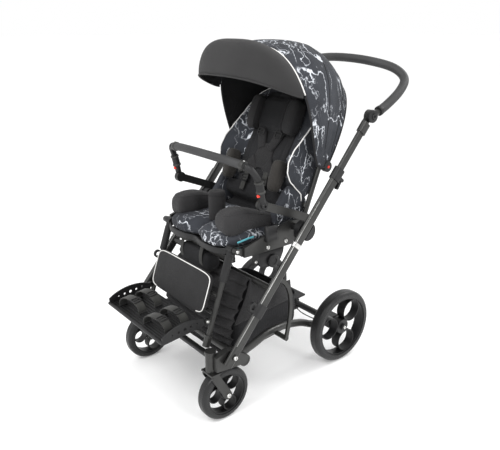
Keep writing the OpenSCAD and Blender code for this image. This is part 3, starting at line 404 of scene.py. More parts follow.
STRAP = webbing("strap_webbing", (0.012, 0.012, 0.0105), (0.026, 0.026, 0.023))


# Mesh building blocks

def linked(name, verts, faces, *materials):
    mesh = bpy.data.meshes.new(name)
    mesh.from_pydata([tuple(v) for v in verts], [], faces)
    mesh.shade_smooth()
    for material in materials:
        mesh.materials.append(material)
    obj = bpy.data.objects.new(name, mesh)
    scene.collection.objects.link(obj)
    return obj


def settle(obj, body):
    if body:
        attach(obj, body)
    return obj


def piece(name, verts, faces, material, body=None):
    """A smooth mesh with its faces turned outward, riding on a body if one is given."""
    obj = linked(name, verts, faces, material)
    build = bmesh.new()
    build.from_mesh(obj.data)
    bmesh.ops.recalc_face_normals(build, faces=build.faces)
    build.to_mesh(obj.data)
    build.free()
    return settle(obj, body)


def grid_faces(rows, cols, wrap=False, start=0):
    faces = []
    for i in range(rows - 1):
        for j in range(cols if wrap else cols - 1):
            k = (j + 1) % cols
            a = start + i * cols
            faces.append((a + j, a + k, a + cols + k, a + cols + j))
    return faces


def tube_faces(rows, cols):
    """Faces of rings of points, closed at both ends."""
    last = (rows - 1) * cols
    return grid_faces(rows, cols, wrap=True) + [tuple(range(cols)), tuple(range(last, last + cols))]


def loop_faces(rows, cols, shift=0):
    """Faces of rings of points whose last ring meets the first, turned by so many points."""
    last = (rows - 1) * cols
    faces = grid_faces(rows, cols, wrap=True)
    for k in range(cols):
        after = (k + 1) % cols
        faces.append((last + (k + shift) % cols, last + (after + shift) % cols, after, k))
    return faces


def apply_modifiers(obj):
    shown = obj.evaluated_get(bpy.context.evaluated_depsgraph_get())
    mesh = bpy.data.meshes.new_from_object(shown)
    obj.modifiers.clear()
    obj.data = mesh


def thicken(obj, thickness, offset=-1):
    """Give a sheet real thickness; its second material shows on the inner face."""
    shell = obj.modifiers.new("thickness", "SOLIDIFY")
    shell.thickness = thickness
    shell.offset = offset
    shell.material_offset = 1
    shell.material_offset_rim = 0
    apply_modifiers(obj)


def sheet_piece(name, grid, material, thickness, body=None, lining=None, inward=True):
    """A cloth of real thickness on a grid of points."""
    verts = [point for row in grid for point in row]
    obj = linked(name, verts, grid_faces(len(grid), len(grid[0])), material, lining or material)
    thicken(obj, thickness, -1 if inward else 1)
    return settle(obj, body)


def tube_piece(name, points, radius, material, body=None, sides=12, closed=False):
    """A round cord or tube swept along points, without twist."""
    points = [Vector(p) for p in points]
    count = len(points)
    tangents = []
    for i in range(count):
        before = points[i - 1] if closed or i else points[0]
        after = points[(i + 1) % count] if closed or i < count - 1 else points[-1]
        tangents.append((after - before).normalized())
    normal = tangents[0].orthogonal().normalized()
    verts = []
    for point, tangent in zip(points, tangents):
        normal = (normal - tangent * normal.dot(tangent)).normalized()
        side = tangent.cross(normal)
        verts += [point + radius * (cos(a) * normal + sin(a) * side) for a in turn(sides)]
    if closed:
        last = (count - 1) * sides
        first = verts[0] - points[0]
        shift = min(range(sides), key=lambda k: (verts[last + k] - points[-1] - first).length)
        faces = loop_faces(count, sides, shift)
    else:
        faces = tube_faces(count, sides)
    return piece(name, verts, faces, material, body)


def band_piece(name, points, across, width, thickness, material, body, power=0.35, sides=16):
    """A flat strap or padded band along points. Width may be a list; across is its sideways direction."""
    points = [Vector(p) for p in points]
    count = len(points)
    widths = width if isinstance(width, list) else [width] * count
    verts = []
    for i, point in enumerate(points):
        tangent = (points[min(i + 1, count - 1)] - points[max(i - 1, 0)]).normalized()
        wide = (across - tangent * across.dot(tangent)).normalized()
        face = tangent.cross(wide)
        verts += [point + wide * x + face * y
                  for x, y in rounded(turn(sides, 0.5), widths[i] / 2, thickness / 2, power)]
    return piece(name, verts, tube_faces(count, sides), material, body)


TURNED_SHARP = 35
BACK_SHARP = 60


def mark_sharp(obj, angle):
    obj.data.set_sharp_from_angle(angle=radians(angle))


def turned_piece(name, profile, at, axis, material, body, turns=28, bored=False):
    """A turned part: the profile is (radius, height) pairs from foot to top, round the axis.

    A bored part's profile goes up the outside and down the bore, and is closed on itself.
    """
    axis = Vector(axis).normalized()
    side = axis.orthogonal().normalized()
    other = axis.cross(side)
    verts = [Vector(at) + axis * height + radius * (cos(a) * side + sin(a) * other)
             for radius, height in profile for a in turn(turns)]
    faces = (loop_faces if bored else tube_faces)(len(profile), turns)
    obj = piece(name, verts, faces, material, body)
    mark_sharp(obj, TURNED_SHARP)
    return obj


# A button head with a socket, as shares of its radius
BOLT_HEAD = ((1, 0.25), (0.86, 0.5), (0.6, 0.62), (0.42, 0.62), (0.40, 0.2), (0.02, 0.2))


def bolt(name, at, axis, radius, body, material=SILVER):
    profile = [(radius, -0.001)] + [(wide * radius, high * radius) for wide, high in BOLT_HEAD]
    return turned_piece(name, profile, at, axis, material, body, 24)


VOXEL = 0.005
CLOTH_FRAMES = 20
CLOTH_PRESSURE = 4.0
POLE = 89.5


def swell(obj, cap):
    """Fill a cover as cloth under slight pressure, hold each point within the cap, and keep the result."""
    remesh = obj.modifiers.new("voxels", "REMESH")
    remesh.mode = "VOXEL"
    remesh.voxel_size = VOXEL
    apply_modifiers(obj)
    start = [vertex.co.copy() for vertex in obj.data.vertices]
    cloth = obj.modifiers.new("cloth", "CLOTH")
    cloth.settings.quality = 4
    cloth.settings.use_pressure = True
    cloth.settings.uniform_pressure_force = CLOTH_PRESSURE
    cloth.settings.effector_weights.gravity = 0.0
    cloth.point_cache.frame_start = 1
    cloth.point_cache.frame_end = CLOTH_FRAMES
    for number in range(1, CLOTH_FRAMES + 1):
        scene.frame_set(number)
    filled = obj.evaluated_get(bpy.context.evaluated_depsgraph_get()).data
    steps = [vertex.co - at for vertex, at in zip(filled.vertices, start)]
    obj.modifiers.remove(cloth)
    scene.frame_set(1)
    for vertex, at, step in zip(obj.data.vertices, start, steps):
        vertex.co = at + step * min(1.0, cap / max(step.length, 1e-9))
    finer = obj.modifiers.new("finer", "SUBSURF")
    finer.levels = finer.render_levels = 1
    apply_modifiers(obj)
    obj.data.shade_smooth()


def pad_piece(name, size, place, material, body, rise, plan, cols, rows, shape, cap=0.0):
    """A stuffed pad: a rounded box with crowned faces and drawn-in sides, its poles left out.

    shape bends a point of the pad, place puts it in the frame; cap is how far cloth may swell.
    """
    across, deep, high = (side - cap for side in size)
    verts = []
    for i in range(rows + 1):
        b = radians(-POLE + 2 * POLE * i / rows)
        wide = abs(cos(b)) ** rise
        z = high / 2 * signed_power(sin(b), rise)
        verts += [place(shape(vec(x, y, z)))
                  for x, y in rounded(turn(cols), across / 2 * wide, deep / 2 * wide, plan)]
    obj = piece(name, verts, tube_faces(rows + 1, cols), material, body)
    if cap:
        swell(obj, cap)
    return obj


def on_surface(obj, points, lift):
    """The points brought onto a made piece, a little proud of it."""
    placed = []
    for point in points:
        _, at, normal, _ = obj.closest_point_on_mesh(point)
        placed.append(at + normal * lift)
    return placed


# Carried-over CAD nodes

def paint(material, names):
    """Give the nodes a material; a name that ends in an underscore is a left and right pair."""
    for name in names.split():
        for node in [name + side for side, _ in SIDES] if name.endswith("_") else [name]:
            nodes[node].data.materials.clear()
            nodes[node].data.materials.append(material)


paint(FRAME_METAL, "castor_head_ lower_tubes base_cross_tube fork_ main_tube_ frame_cross_tube fold_struts "
      "handle_stem_ handle_tube seat_frame basket_rail armrest_ back_frame legrest_tubes")
paint(BLACK_PLASTIC, "brake_cable brake_pedal rear_rim_ front_rim_ seat_adaptors tie_down_brackets "
      "height_clamps clamp_lever_ legrest_sleeves footplate grab_bar_frame")
paint(BLACK_METAL, "front_cross_bar rear_axle")
paint(RED_PLASTIC, "grab_button_ hood_button_")
for side, _ in SIDES:
    for wheel in ("rear", "front"):
        axle = Vector(joints[f"{wheel}_spin_{side}"]["pos_m"])
        paint(tyre_rubber(f"{wheel}_tyre_rubber_{side}", axle), f"{wheel}_tyre_{side}")


# Smooth foam grips in place of the faceted grip solids, with their fittings

def tube_ends(route):
    """Each end of a route from left to right: its side, sign, point and the way inward."""
    return [(side, sign, end, (inner - end).normalized())
            for (side, sign), end, inner in zip(SIDES, (route[0], route[-1]), (route[1], route[-2]))]


HANDLE_REACH = 0.216
HANDLE_RISE = 0.178
GRIP_RADIUS = 0.016
# Out from the tube, then shares of the reach and rise
HANDLE_ROUTE = (
    (0.006, 0.06, 0.03), (0.004, 0.36, 0.17), (-0.004, 0.74, 0.42), (-0.030, 0.985, 0.64),
    (-0.080, 0.95, 0.84), (-0.180, 0.83, 0.96), (-TUBE_X, 0.77, 1.0),
)
HANDLE_RING = ((0.0118, -0.006), (0.0172, -0.005), (0.0176, 0.004), (0.0165, 0.009))
HANDLE_CAP_X = TUBE_X + 0.012
HANDLE_STOP_X = TUBE_X + 0.0155
HANDLE_DISC = ((0.0225, -0.006), (0.0225, 0.003), (0.0205, 0.0055), (0.013, 0.0065), (0.011, 0.005),
               (0.001, 0.005))


def handle_point(x, reach, rise):
    return pivot("handle_angle") + vec(x, reach * HANDLE_REACH, rise * HANDLE_RISE)


def push_handle():
    body = "push_handle"
    steps = 10
    route = spline(mirrored([handle_point(TUBE_X + x, reach, rise) for x, reach, rise in HANDLE_ROUTE]),
                   steps)
    middle = route[steps // 2:-(steps // 2)]
    grip = tube_piece("handle_foam", middle, GRIP_RADIUS, FOAM, body, 24)
    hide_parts("handle_grip")
    for side, sign, end, along in tube_ends(middle):
        out = vec(sign, 0, 0)
        turned_piece(f"handle_end_ring_{side}", HANDLE_RING, end, along, BLACK_PLASTIC, body)
        cap_at = pivot("handle_angle") + vec(sign * HANDLE_CAP_X, 0, 0)
        turned_piece(f"handle_knuckle_{side}", HANDLE_DISC, cap_at, out, BLACK_PLASTIC, body)
        bolt(f"handle_pivot_bolt_{side}", cap_at + vec(sign * 0.004, 0, 0), out, 0.0095, body, BLACK_PLASTIC)
        stub = handle_point(sign * HANDLE_STOP_X, 0.20, 0.06)
        bolt(f"handle_stop_bolt_{side}", stub, (sign, -0.1, -0.2), 0.0045, body)


GRAB_GRIP_RADIUS = 0.0142
GRAB_POST_X = 0.2488
GRAB_POST = ((-0.0088, 0.046), (-0.0128, 0.064), (-0.0178, 0.082))
GRAB_COLLAR = ((0.012, -0.009), (0.0162, -0.008), (0.0168, -0.002), (0.0168, 0.007), (0.0152, 0.010))
GRAB_RING = ((0.0120, -0.002), (0.0152, -0.0015), (0.0156, 0.003), (0.0140, 0.0055))


def grab_bar():
    body = "grab_bar"
    _, high = box_of("grab_bar_grip")
    end_y, end_z = high.y - 0.014, high.z - 0.014 - 0.006
    half = [
        vec(high.x - 0.002, end_y, end_z), vec(0.130, end_y - 0.013, end_z + 0.007),
        vec(0, end_y - 0.024, end_z + 0.012),
    ]
    route = spline(mirrored(half), 12)
    grip = tube_piece("grab_bar_foam", route, GRAB_GRIP_RADIUS, FOAM, body, 24)
    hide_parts("grab_bar_grip")
    hinge = pivot("grab_swing")
    for side, sign, end, along in tube_ends(route):
        turned_piece(f"grab_collar_{side}", GRAB_COLLAR, end, along, GREY_PLASTIC, body)
        bolt(f"grab_collar_bolt_{side}", end + vec(sign * 0.006, 0.0, 0.0155), UP, 0.0035, body)
        post = [hinge + vec(sign * GRAB_POST_X, y, z) for y, z in GRAB_POST]
        tube_piece(f"grab_sleeve_{side}", spline(post, 5), 0.0136, BLACK_PLASTIC, body, 20)
        for name, at in (("low", post[0]), ("high", post[2])):
            turned_piece(f"grab_sleeve_ring_{name}_{side}", GRAB_RING, at, (post[1] - at).normalized(),
                         GREY_PLASTIC, body)
        bolt(f"grab_pivot_bolt_{side}", hinge + vec(sign * 0.2555, 0, 0), (sign, 0, 0), 0.0105, "seat",
             BLACK_PLASTIC)


# Seat unit

SEAT_STRIPE = ((0.066, -0.006), (0.102, 0.0), (0.138, 0.004))
SEAT_SWELL = 0.009
THIGH_SWELL = 0.010
THIGH_SKIRT = 0.020
SMALL_SWELL = 0.006


def seat_cushion():
    low, high = box_of("seat_cushion")
    low, high = low - vec(0.003, 0.022, 0.0), high + vec(0.003, 0.0, 0.004)
    centre, size = (low + high) / 2, high - low

    def shape(p):
        v = (p.y + size.y / 2) / size.y
        front = 1 - v
        top = smooth((p.z / size.z + 0.2) / 0.5)
        parting = exp(-(p.x / 0.015) ** 2)
        lobes = 0.008 * sin(pi * min(1.0, abs(p.x) / 0.165)) * front ** 2
        z = p.z + top * (lobes - 0.018 * parting * (0.2 + 0.8 * front) + ripple(p, 22, 0.0016))
        y = p.y + 0.026 * exp(-(p.x / 0.03) ** 2) * front ** 5
        return vec(p.x * lerp(0.92, 1.0, smooth((v - 0.05) / 0.2)), y, z)

    obj = pad_piece("seat_cushion_cover", size, lambda p: centre + p, MARBLE, "seat", 0.42, 0.36, 96, 36,
                    shape, SEAT_SWELL)
    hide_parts("seat_cushion")
    edge_z = low.z + 0.008
    front, rear, half = low.y, high.y - 0.01, high.x + 0.002
    route = [
        vec(half, rear, edge_z), vec(half, lerp(rear, front, 0.45), edge_z),
        vec(half - 0.002, front + 0.075, edge_z),
        vec(half - 0.028, front + 0.030, edge_z - 0.004), vec(half - 0.075, front + 0.012, edge_z - 0.008),
        vec(0.05, front + 0.014, edge_z - 0.008), vec(0, front + 0.026, edge_z - 0.008),
    ]
    band_piece("seat_tray_lip", spline(mirrored(route), 8), UP, 0.022, 0.007, BLACK_PLASTIC, "seat")
    stripe_z = lerp(low.z, high.z, 0.56)
    for side, sign in SIDES:
        route = [vec(sign * high.x, low.y + y, stripe_z + z) for y, z in SEAT_STRIPE]
        stripe = on_surface(obj, spline(route, 8), 0.0008)
        band_piece(f"seat_stripe_{side}", stripe, UP, 0.006, 0.0026, CYAN, "seat")


def thigh_pad(side, sign):
    node = f"thigh_pad_{side}"
    low, high = box_of(node)
    low, high = low - vec(0.003, 0.006, 0.008), high + vec(0.003, 0.004, 0.015)
    centre, size = (low + high) / 2, high - low

    def shape(p):
        v = p.y / size.y + 0.5
        arch = 1 - 0.14 * max(0.0, p.z / size.z * 2) ** 2
        slim = lerp(1.0, 0.62, smooth((v - 0.25) / 0.7))
        x = p.x * arch * slim + sign * (1 - slim) * size.x * 0.3
        lift = lerp(1.0, 0.50, smooth((v - 0.25) / 0.75))
        z = (p.z + size.z / 2) * lift - size.z / 2
        outer = smooth(0.5 + sign * p.x / size.x)
        z -= THIGH_SKIRT * outer * (1 - smooth(v / 0.55)) * max(0.0, 0.5 - p.z / size.z)
        return vec(x, p.y, z + ripple(p + centre, 25, 0.0012))

    obj = pad_piece(f"thigh_cover_{side}", size, lambda p: centre + p, THIGH_FABRIC, "seat", 0.62, 0.42, 64,
                    32, shape, THIGH_SWELL)
    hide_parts(node)
    ring = [centre + shape(vec(x, y, size.z * 0.36))
            for x, y in rounded(turn(72), size.x / 2 * 0.86, size.y / 2 * 0.93, 0.62)]
    tube_piece(f"thigh_seam_{side}", on_surface(obj, ring, 0.0), 0.0018, THIGH_FABRIC, "seat", 8, True)


def abductor():
    low, high = box_of("abductor")
    centre = vec((low.x + high.x) / 2, (low.y + high.y) / 2, low.z)
    radius, height = (high.x - low.x) / 2, high.z - low.z
    lip = 0.006
    profile = [(radius * 0.6, 0.0), (radius * 0.97, 0.001)]
    profile += [(radius * (0.985 + 0.02 * sin(pi * t / 10)), height * 0.9 * t / 10) for t in range(1, 11)]
    profile += [(radius - lip + lip * cos(a), height - lip + lip * sin(a)) for a in sweep(0, 90, 3)]
    profile += [(radius * 0.5, height + 0.0006), (0.001, height + 0.0012)]
    obj = turned_piece("abductor_cover", profile, centre, UP, PAD_FABRIC, "seat", 40)
    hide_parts("abductor")
    ring = [centre + vec(x, y, height - 0.012) for x, y in rounded(turn(40), radius, radius, 1)]
    tube_piece("abductor_seam", ring, 0.0014, BLACK_FABRIC, "seat", 8, True)


# Back unit

BACK_HALF = 0.194
BACK_THICK = 0.056
BACK_REAR_N = -0.0203
BACK_FOOT_S = 0.025
BACK_LENGTH = 0.437
# Height up the back, and how far forward the side wing's bound edge stands there
WING_EDGE = (
    (0.025, 0.024), (0.070, 0.026), (0.092, 0.036), (0.106, 0.070), (0.124, 0.108), (0.149, 0.130),
    (0.182, 0.139),
    (0.224, 0.131), (0.270, 0.108), (0.306, 0.090), (0.340, 0.072), (0.397, 0.052), (0.452, 0.046),
)


def back_half(v):
    return BACK_HALF * max(0.0625, 1 - max(0.0, 2 * v - 1) ** 5) ** 0.5


def wing_edge(s):
    for (s0, n0), (s1, n1) in zip(WING_EDGE, WING_EDGE[1:]):
        if s <= s1:
            return lerp(n0, n1, smooth((s - s0) / (s1 - s0)) * 0.4 + (s - s0) / (s1 - s0) * 0.6)
    return WING_EDGE[-1][1]


def back_front(s):
    """How far forward the padded middle stands, thinner behind the head."""
    return lerp(0.0745, 0.060, smooth((s - 0.16) / 0.16))


def back_point(u, v, front):
    """A point of the back cushion: u across, v up, front from 0 at its rear face to 1."""
    s = BACK_FOOT_S + BACK_LENGTH * v
    middle = back_front(s) * (1 - 0.3 * abs(2 * v - 1) ** 12)
    face = lerp(middle, wing_edge(s), abs(u) ** 5)
    wrap = 0.028 * abs(u) ** 10 * smooth((s - 0.07) / 0.05) * (1 - smooth((s - 0.34) / 0.05))
    return back_at(u * back_half(v), -lerp(-BACK_REAR_N - wrap, face, front), s)


def back_cushion():
    rows, cols = 48, 56
    verts = [back_point(2 * j / cols - 1, i / rows, front)
             for front in (1, 0) for i in range(rows + 1) for j in range(cols + 1)]
    wide = cols + 1
    count = (rows + 1) * wide
    faces = grid_faces(rows + 1, wide) + grid_faces(rows + 1, wide, start=count)
    ring = list(range(wide))
    ring += [i * wide + cols for i in range(1, rows + 1)]
    ring += [rows * wide + j for j in range(cols - 1, -1, -1)]
    ring += [i * wide for i in range(rows - 1, 0, -1)]
    faces += [(a, b, count + b, count + a) for a, b in zip(ring, ring[1:] + ring[:1])]
    obj = piece("back_cover", verts, faces, MARBLE, "back")
    mark_sharp(obj, BACK_SHARP)
    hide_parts("back_cushion")
    obj.data.materials.append(BLACK_FABRIC)
    for polygon in obj.data.polygons:
        if all(index >= count for index in polygon.vertices):
            polygon.material_index = 1
    edge = [back_point(-1, v / 60, 1) for v in range(6, 61)]
    edge += [back_point(u / 20, 1, 1) for u in range(-19, 20)]
    edge += [back_point(1, v / 60, 1) for v in range(60, 5, -1)]
    tube_piece("back_piping", edge, 0.0021, PIPING, "back", 10)

    forward = back_at(0, -1, 0) - back_at(0, 0, 0)

    def liner_point(i, j):
        u, v = lerp(-0.60, 0.60, j / 40), lerp(0.03, 0.93, i / 60)
        puff = (1 - abs(2 * j / 40 - 1) ** 6) * (1 - abs(2 * i / 60 - 1) ** 8)
        channel = sum(exp(-((abs(u) - c) / 0.02) ** 2) for c in (0.2, 0.45)) * 0.003
        return back_point(u, v, 1) + forward * (0.0006 + 0.007 * max(puff, 0) ** 0.5 - channel)
    liner = sheet_piece("back_liner", [[liner_point(i, j) for j in range(41)] for i in range(61)],
                        BLACK_FABRIC, 0.0015, "back")


def hip_lining():
    """Padded side walls beside the hips, and the lining that closes the gap from the seat to the back."""
    _, high = box_of("seat_cushion")
    size = vec(0.034, 0.150, 0.132)

    def shape(p):
        v = p.y / size.y + 0.5
        rise = lerp(0.45, 1.0, smooth(v / 0.5)) * lerp(1.0, 0.72, smooth((v - 0.55) / 0.45))
        return vec(p.x, p.y, (p.z + size.z / 2) * rise - size.z / 2 + ripple(p, 24, 0.0012))
    for side, sign in SIDES:
        centre = vec(sign * 0.178, high.y + 0.006, high.z + 0.060)
        pad_piece(f"hip_wall_{side}", size, lambda p: centre + p, MARBLE, "seat", 0.5, 0.3, 48, 30, shape)

    columns = []
    for j in range(25):
        x = lerp(-0.168, 0.168, j / 24)
        columns.append(spline([
            vec(x, high.y - 0.075, high.z - 0.004), vec(x, high.y - 0.020, high.z - 0.002),
            vec(x, high.y + 0.024, high.z + 0.010), back_at(x, -0.079, 0.030), back_at(x, -0.082, 0.075),
        ], 6))
    lining = sheet_piece("hip_lining", list(zip(*columns)), BLACK_FABRIC, 0.0024)
    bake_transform(lining)


def trunk_pads():
    size = vec(0.048, 0.064, 0.120)
    for side, sign in SIDES:
        def place(p):
            return back_at(sign * 0.133 + p.x, -0.1143 + p.y, 0.128 + p.z)

        def shape(p):
            taper = lerp(0.82, 1.0, smooth(p.z / size.z + 0.5))
            return vec(p.x - sign * 0.010 * (p.y / size.y) ** 2, p.y * taper, p.z)
        pad = pad_piece(f"trunk_pad_cover_{side}", size, place, WARM_FABRIC, "back", 0.5, 0.55, 48, 28, shape,
                        SMALL_SWELL)
        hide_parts("trunk_pads")


HEAD_S = 0.355
HEAD_FACE_N = -0.0601
BACK_FACE_N = BACK_REAR_N - 0.96 * BACK_THICK


def headrest():
    panel = vec(0.190, 0.030, 0.150)
    lobe = vec(0.064, 0.056, 0.134)

    def place_panel(p):
        return back_at(p.x, HEAD_FACE_N - 0.0004 - panel.y / 2 + p.y, HEAD_S - 0.010 + p.z)

    def panel_shape(p):
        hollow = 0.012 * (1 - (2 * p.x / panel.x) ** 2) * smooth(0.5 - p.y / panel.y)
        return vec(p.x, p.y + hollow, p.z)

    made = pad_piece("headrest_panel", panel, place_panel, BLACK_FABRIC, "head", 0.42, 0.32, 64, 28,
                     panel_shape, SMALL_SWELL)
    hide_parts("headrest")
    for side, sign in SIDES:
        def place_lobe(p):
            return back_at(sign * 0.106 + p.x, HEAD_FACE_N - 0.0012 - lobe.y / 2 + p.y, HEAD_S - 0.012 + p.z)

        def lobe_shape(p):
            return vec(p.x - sign * 0.012 * (0.5 - p.y / lobe.y) * 0.6, p.y, p.z)
        pad_piece(f"headrest_lobe_{side}", lobe, place_lobe, PAD_FABRIC, "head", 0.55, 0.5, 48, 28,
                  lobe_shape, SMALL_SWELL)
        seam = [place_lobe(lobe_shape(vec(-sign * lobe.x * 0.36, y * 0.95, z * 0.95)))
                for y, z in rounded(turn(48), lobe.y / 2, lobe.z / 2, 0.5, 0.55)]
        tube_piece(f"headrest_seam_{side}", seam, 0.0016, PAD_FABRIC, "head", 8, True)


def buckle(name, centre, across, up, width, height, body):
    """A moulded strap adjuster: a rounded frame with a bar."""
    across, up = across.normalized(), up.normalized()
    ring = [centre + across * x + up * y for x, y in rounded(turn(28), width / 2, height / 2, 0.4)]
    tube_piece(f"{name}_frame", ring, 0.0026, BLACK_PLASTIC, body, 8, True)
    bar = [centre - across * width / 2, centre, centre + across * width / 2]
    tube_piece(f"{name}_bar", bar, 0.0022, BLACK_PLASTIC, body, 8)


# Parts of the harness: width from the middle, height up the back and lift, for each point
HARNESS_CENTRE = ((0, 0.140, 0.0), (0, 0.185, 0.0), (0, 0.235, 0.0))
HARNESS_SHOULDER = ((0.022, 0.215, 0.003), (0.040, 0.255, 0.004), (0.056, 0.300, 0.003), (0.060, 0.325, 0.0))
HARNESS_WING = ((0.030, 0.160, 0.002), (0.058, 0.140, 0.003), (0.078, 0.128, 0.002))
HARNESS_SIDE = ((0.078, 0.128, 0.004), (0.098, 0.118, 0.003))
HARNESS_LOWER = ((0.050, 0.130, 0.008), (0.054, 0.085, 0.006), (0.056, 0.045, 0.004))


def harness():
    face = BACK_FACE_N - 0.0100

    def on(x, s, lift):
        return back_at(x, face - lift + 0.070 * (s - 0.140), s)

    def run(route, sign=1):
        return [on(sign * x, s, lift) for x, s, lift in route]

    def padded(name, route, across, width, thickness, power):
        made = band_piece(name, spline(route, 8), across, width, thickness, PAD_FABRIC, "back", power)
        return made

    taper = [t / 16 for t in range(17)]
    made = padded("harness_centre", run(HARNESS_CENTRE), ACROSS, [lerp(0.120, 0.07, t) for t in taper], 0.012,
                  0.5)
    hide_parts("harness")
    for side, sign in SIDES:
        wide = [lerp(0.034, 0.042, sin(pi * t / 24)) for t in range(25)]
        padded(f"harness_shoulder_{side}", run(HARNESS_SHOULDER, sign), ACROSS, wide, 0.014, 0.55)
        wide = [lerp(0.06, 0.036, t) for t in taper]
        padded(f"harness_wing_{side}", run(HARNESS_WING, sign), BACK_UP, wide, 0.013, 0.55)
        strap = run(HARNESS_SIDE, sign) + [back_at(sign * 0.112, face - 0.004, 0.112)]
        band_piece(f"harness_side_strap_{side}", spline(strap, 6), BACK_UP, 0.022, 0.002, STRAP, "back")
        lower = spline(run(HARNESS_LOWER, sign), 6)
        band_piece(f"harness_lower_strap_{side}", lower, ACROSS, 0.024, 0.002, STRAP, "back")
        for name, x, s, lift in (("shoulder", 0.048, 0.274, 0.0125), ("lower", 0.054, 0.092, 0.010)):
            buckle(f"harness_{name}_buckle_{side}", on(sign * x, s, lift), ACROSS, BACK_UP, 0.034, 0.024,
                   "back")


# Hood

HOOD_HALF_WIDTH = 0.230
HOOD_RADIUS = 0.440
HOOD_REAR_RADIUS = 0.338
HOOD_POWER = 2 / 3.2
HOOD_FRONT = 112
HOOD_REAR = 60
HOOD_FOOT = 0.019
FRONT_FLARE = 0.046
FLARE_REACH = 0.48
FRONT_WIDEN = 0.022
REAR_FLARE = 0.016
HOOD_INSET = 0.011
VISOR_REACH = 0.145
VISOR_DROP = 0.092
VISOR_BULGE = 0.039
VISOR_CORNER = 0.47
HOOD_HUB = ((0.019, -0.014), (0.019, 0.001), (0.017, 0.003), (0.010, 0.0038), (0.0062, 0.0038),
            (0.0062, -0.014))


def hood_point(inset, t, angle):
    """t runs over the arch from 0 at the rider's left to 180; angle is from the rearward horizontal."""
    a, b = radians(t), radians(angle)
    k = (angle - HOOD_REAR) / (HOOD_FRONT - HOOD_REAR)
    crown = HOOD_REAR_RADIUS + (HOOD_RADIUS - HOOD_REAR_RADIUS) * k * (1.42 - 0.42 * k)
    reach = max(HOOD_FOOT, (crown - inset) * abs(sin(a)) ** HOOD_POWER)
    widen = FRONT_WIDEN * smooth(k) * smooth(reach / crown / 0.6)
    x = (HOOD_HALF_WIDTH + widen - inset) * signed_power(cos(a), HOOD_POWER)
    return hood_hinge + vec(x, reach * cos(b), reach * sin(b))


def hood_edges(t):
    """The canopy's rear and front angles, spread near the hinge so that its foot is a rounded lobe."""
    reach = max(HOOD_FOOT, HOOD_RADIUS * sin(radians(t)) ** HOOD_POWER)
    share = (1 - smooth(reach / FLARE_REACH)) / reach
    rear, front = (degrees(asin(min(0.9, flare * share))) for flare in (REAR_FLARE, FRONT_FLARE))
    return HOOD_REAR - rear, HOOD_FRONT + front


def canopy_point(t, v, lift=0.0):
    """A point of the printed canopy: v from its rear edge to the front bow, sagging between them."""
    rear, front = hood_edges(t)
    a = radians(t)
    sag = -0.013 * sin(pi * v) ** 0.8 * sin(a) ** 2
    crease = 0.0014 * mnoise.noise(vec(cos(a) * 5, v * 6, 2.0))
    inset = lerp(HOOD_INSET, 0.0015, smooth(v)) + sag + crease * sin(pi * v)
    return hood_point(inset - lift, t, lerp(rear, front, v))


def visor_point(inset, t, v):
    """A point of the visor: v from the front bow to its lip. It narrows to nothing at its two corners."""
    share = max(0.0, (sin(radians(t)) - VISOR_CORNER) / (1 - VISOR_CORNER)) ** 0.8
    a = radians(90 * v)
    drop = VISOR_BULGE * sin(2 * a) - VISOR_DROP * (1 - cos(a))
    return hood_point(inset, t, hood_edges(t)[1]) + vec(0, -VISOR_REACH * sin(a) * share, drop * share)


def arch_angles(low, high, count):
    """Steps over the arch, closer together near its feet where the curve is tight."""
    even = [k / count for k in range(count + 1)]
    return [lerp(low, high, lerp(w, 0.5 - 0.5 * cos(pi * w), 0.6)) for w in even]


WHOLE_ARCH = arch_angles(0.0, 180.0, 80)


def hood_drop():
    """The plain cloth that closes the hood behind the head, from its rear hem to the back of the seat."""
    foot = ((hood_hinge - back_at(0, 0, 0)).dot(BACK_UP) - BACK_FOOT_S) / BACK_LENGTH

    def point(t, w):
        a = radians(t)
        shell = back_point(0.95 * signed_power(cos(a), 0.5), lerp(foot, 0.955, sin(a) ** 0.5), 0.012)
        slack = 0.008 * sin(pi * w) * sin(a)
        fold = 0.0022 * mnoise.noise(vec(t * 0.09, w * 2.5, 4.0)) * sin(pi * w)
        return lerp(canopy_point(t, 0.0), shell, w) + vec(0, slack + fold, -slack)
    angles = [t for t in WHOLE_ARCH if sin(radians(t)) > 0.16]
    grid = [[point(t, i / 14) for t in angles] for i in range(15)]
    drop = sheet_piece("hood_drop", grid, BLACK_FABRIC, 0.0016, "back")


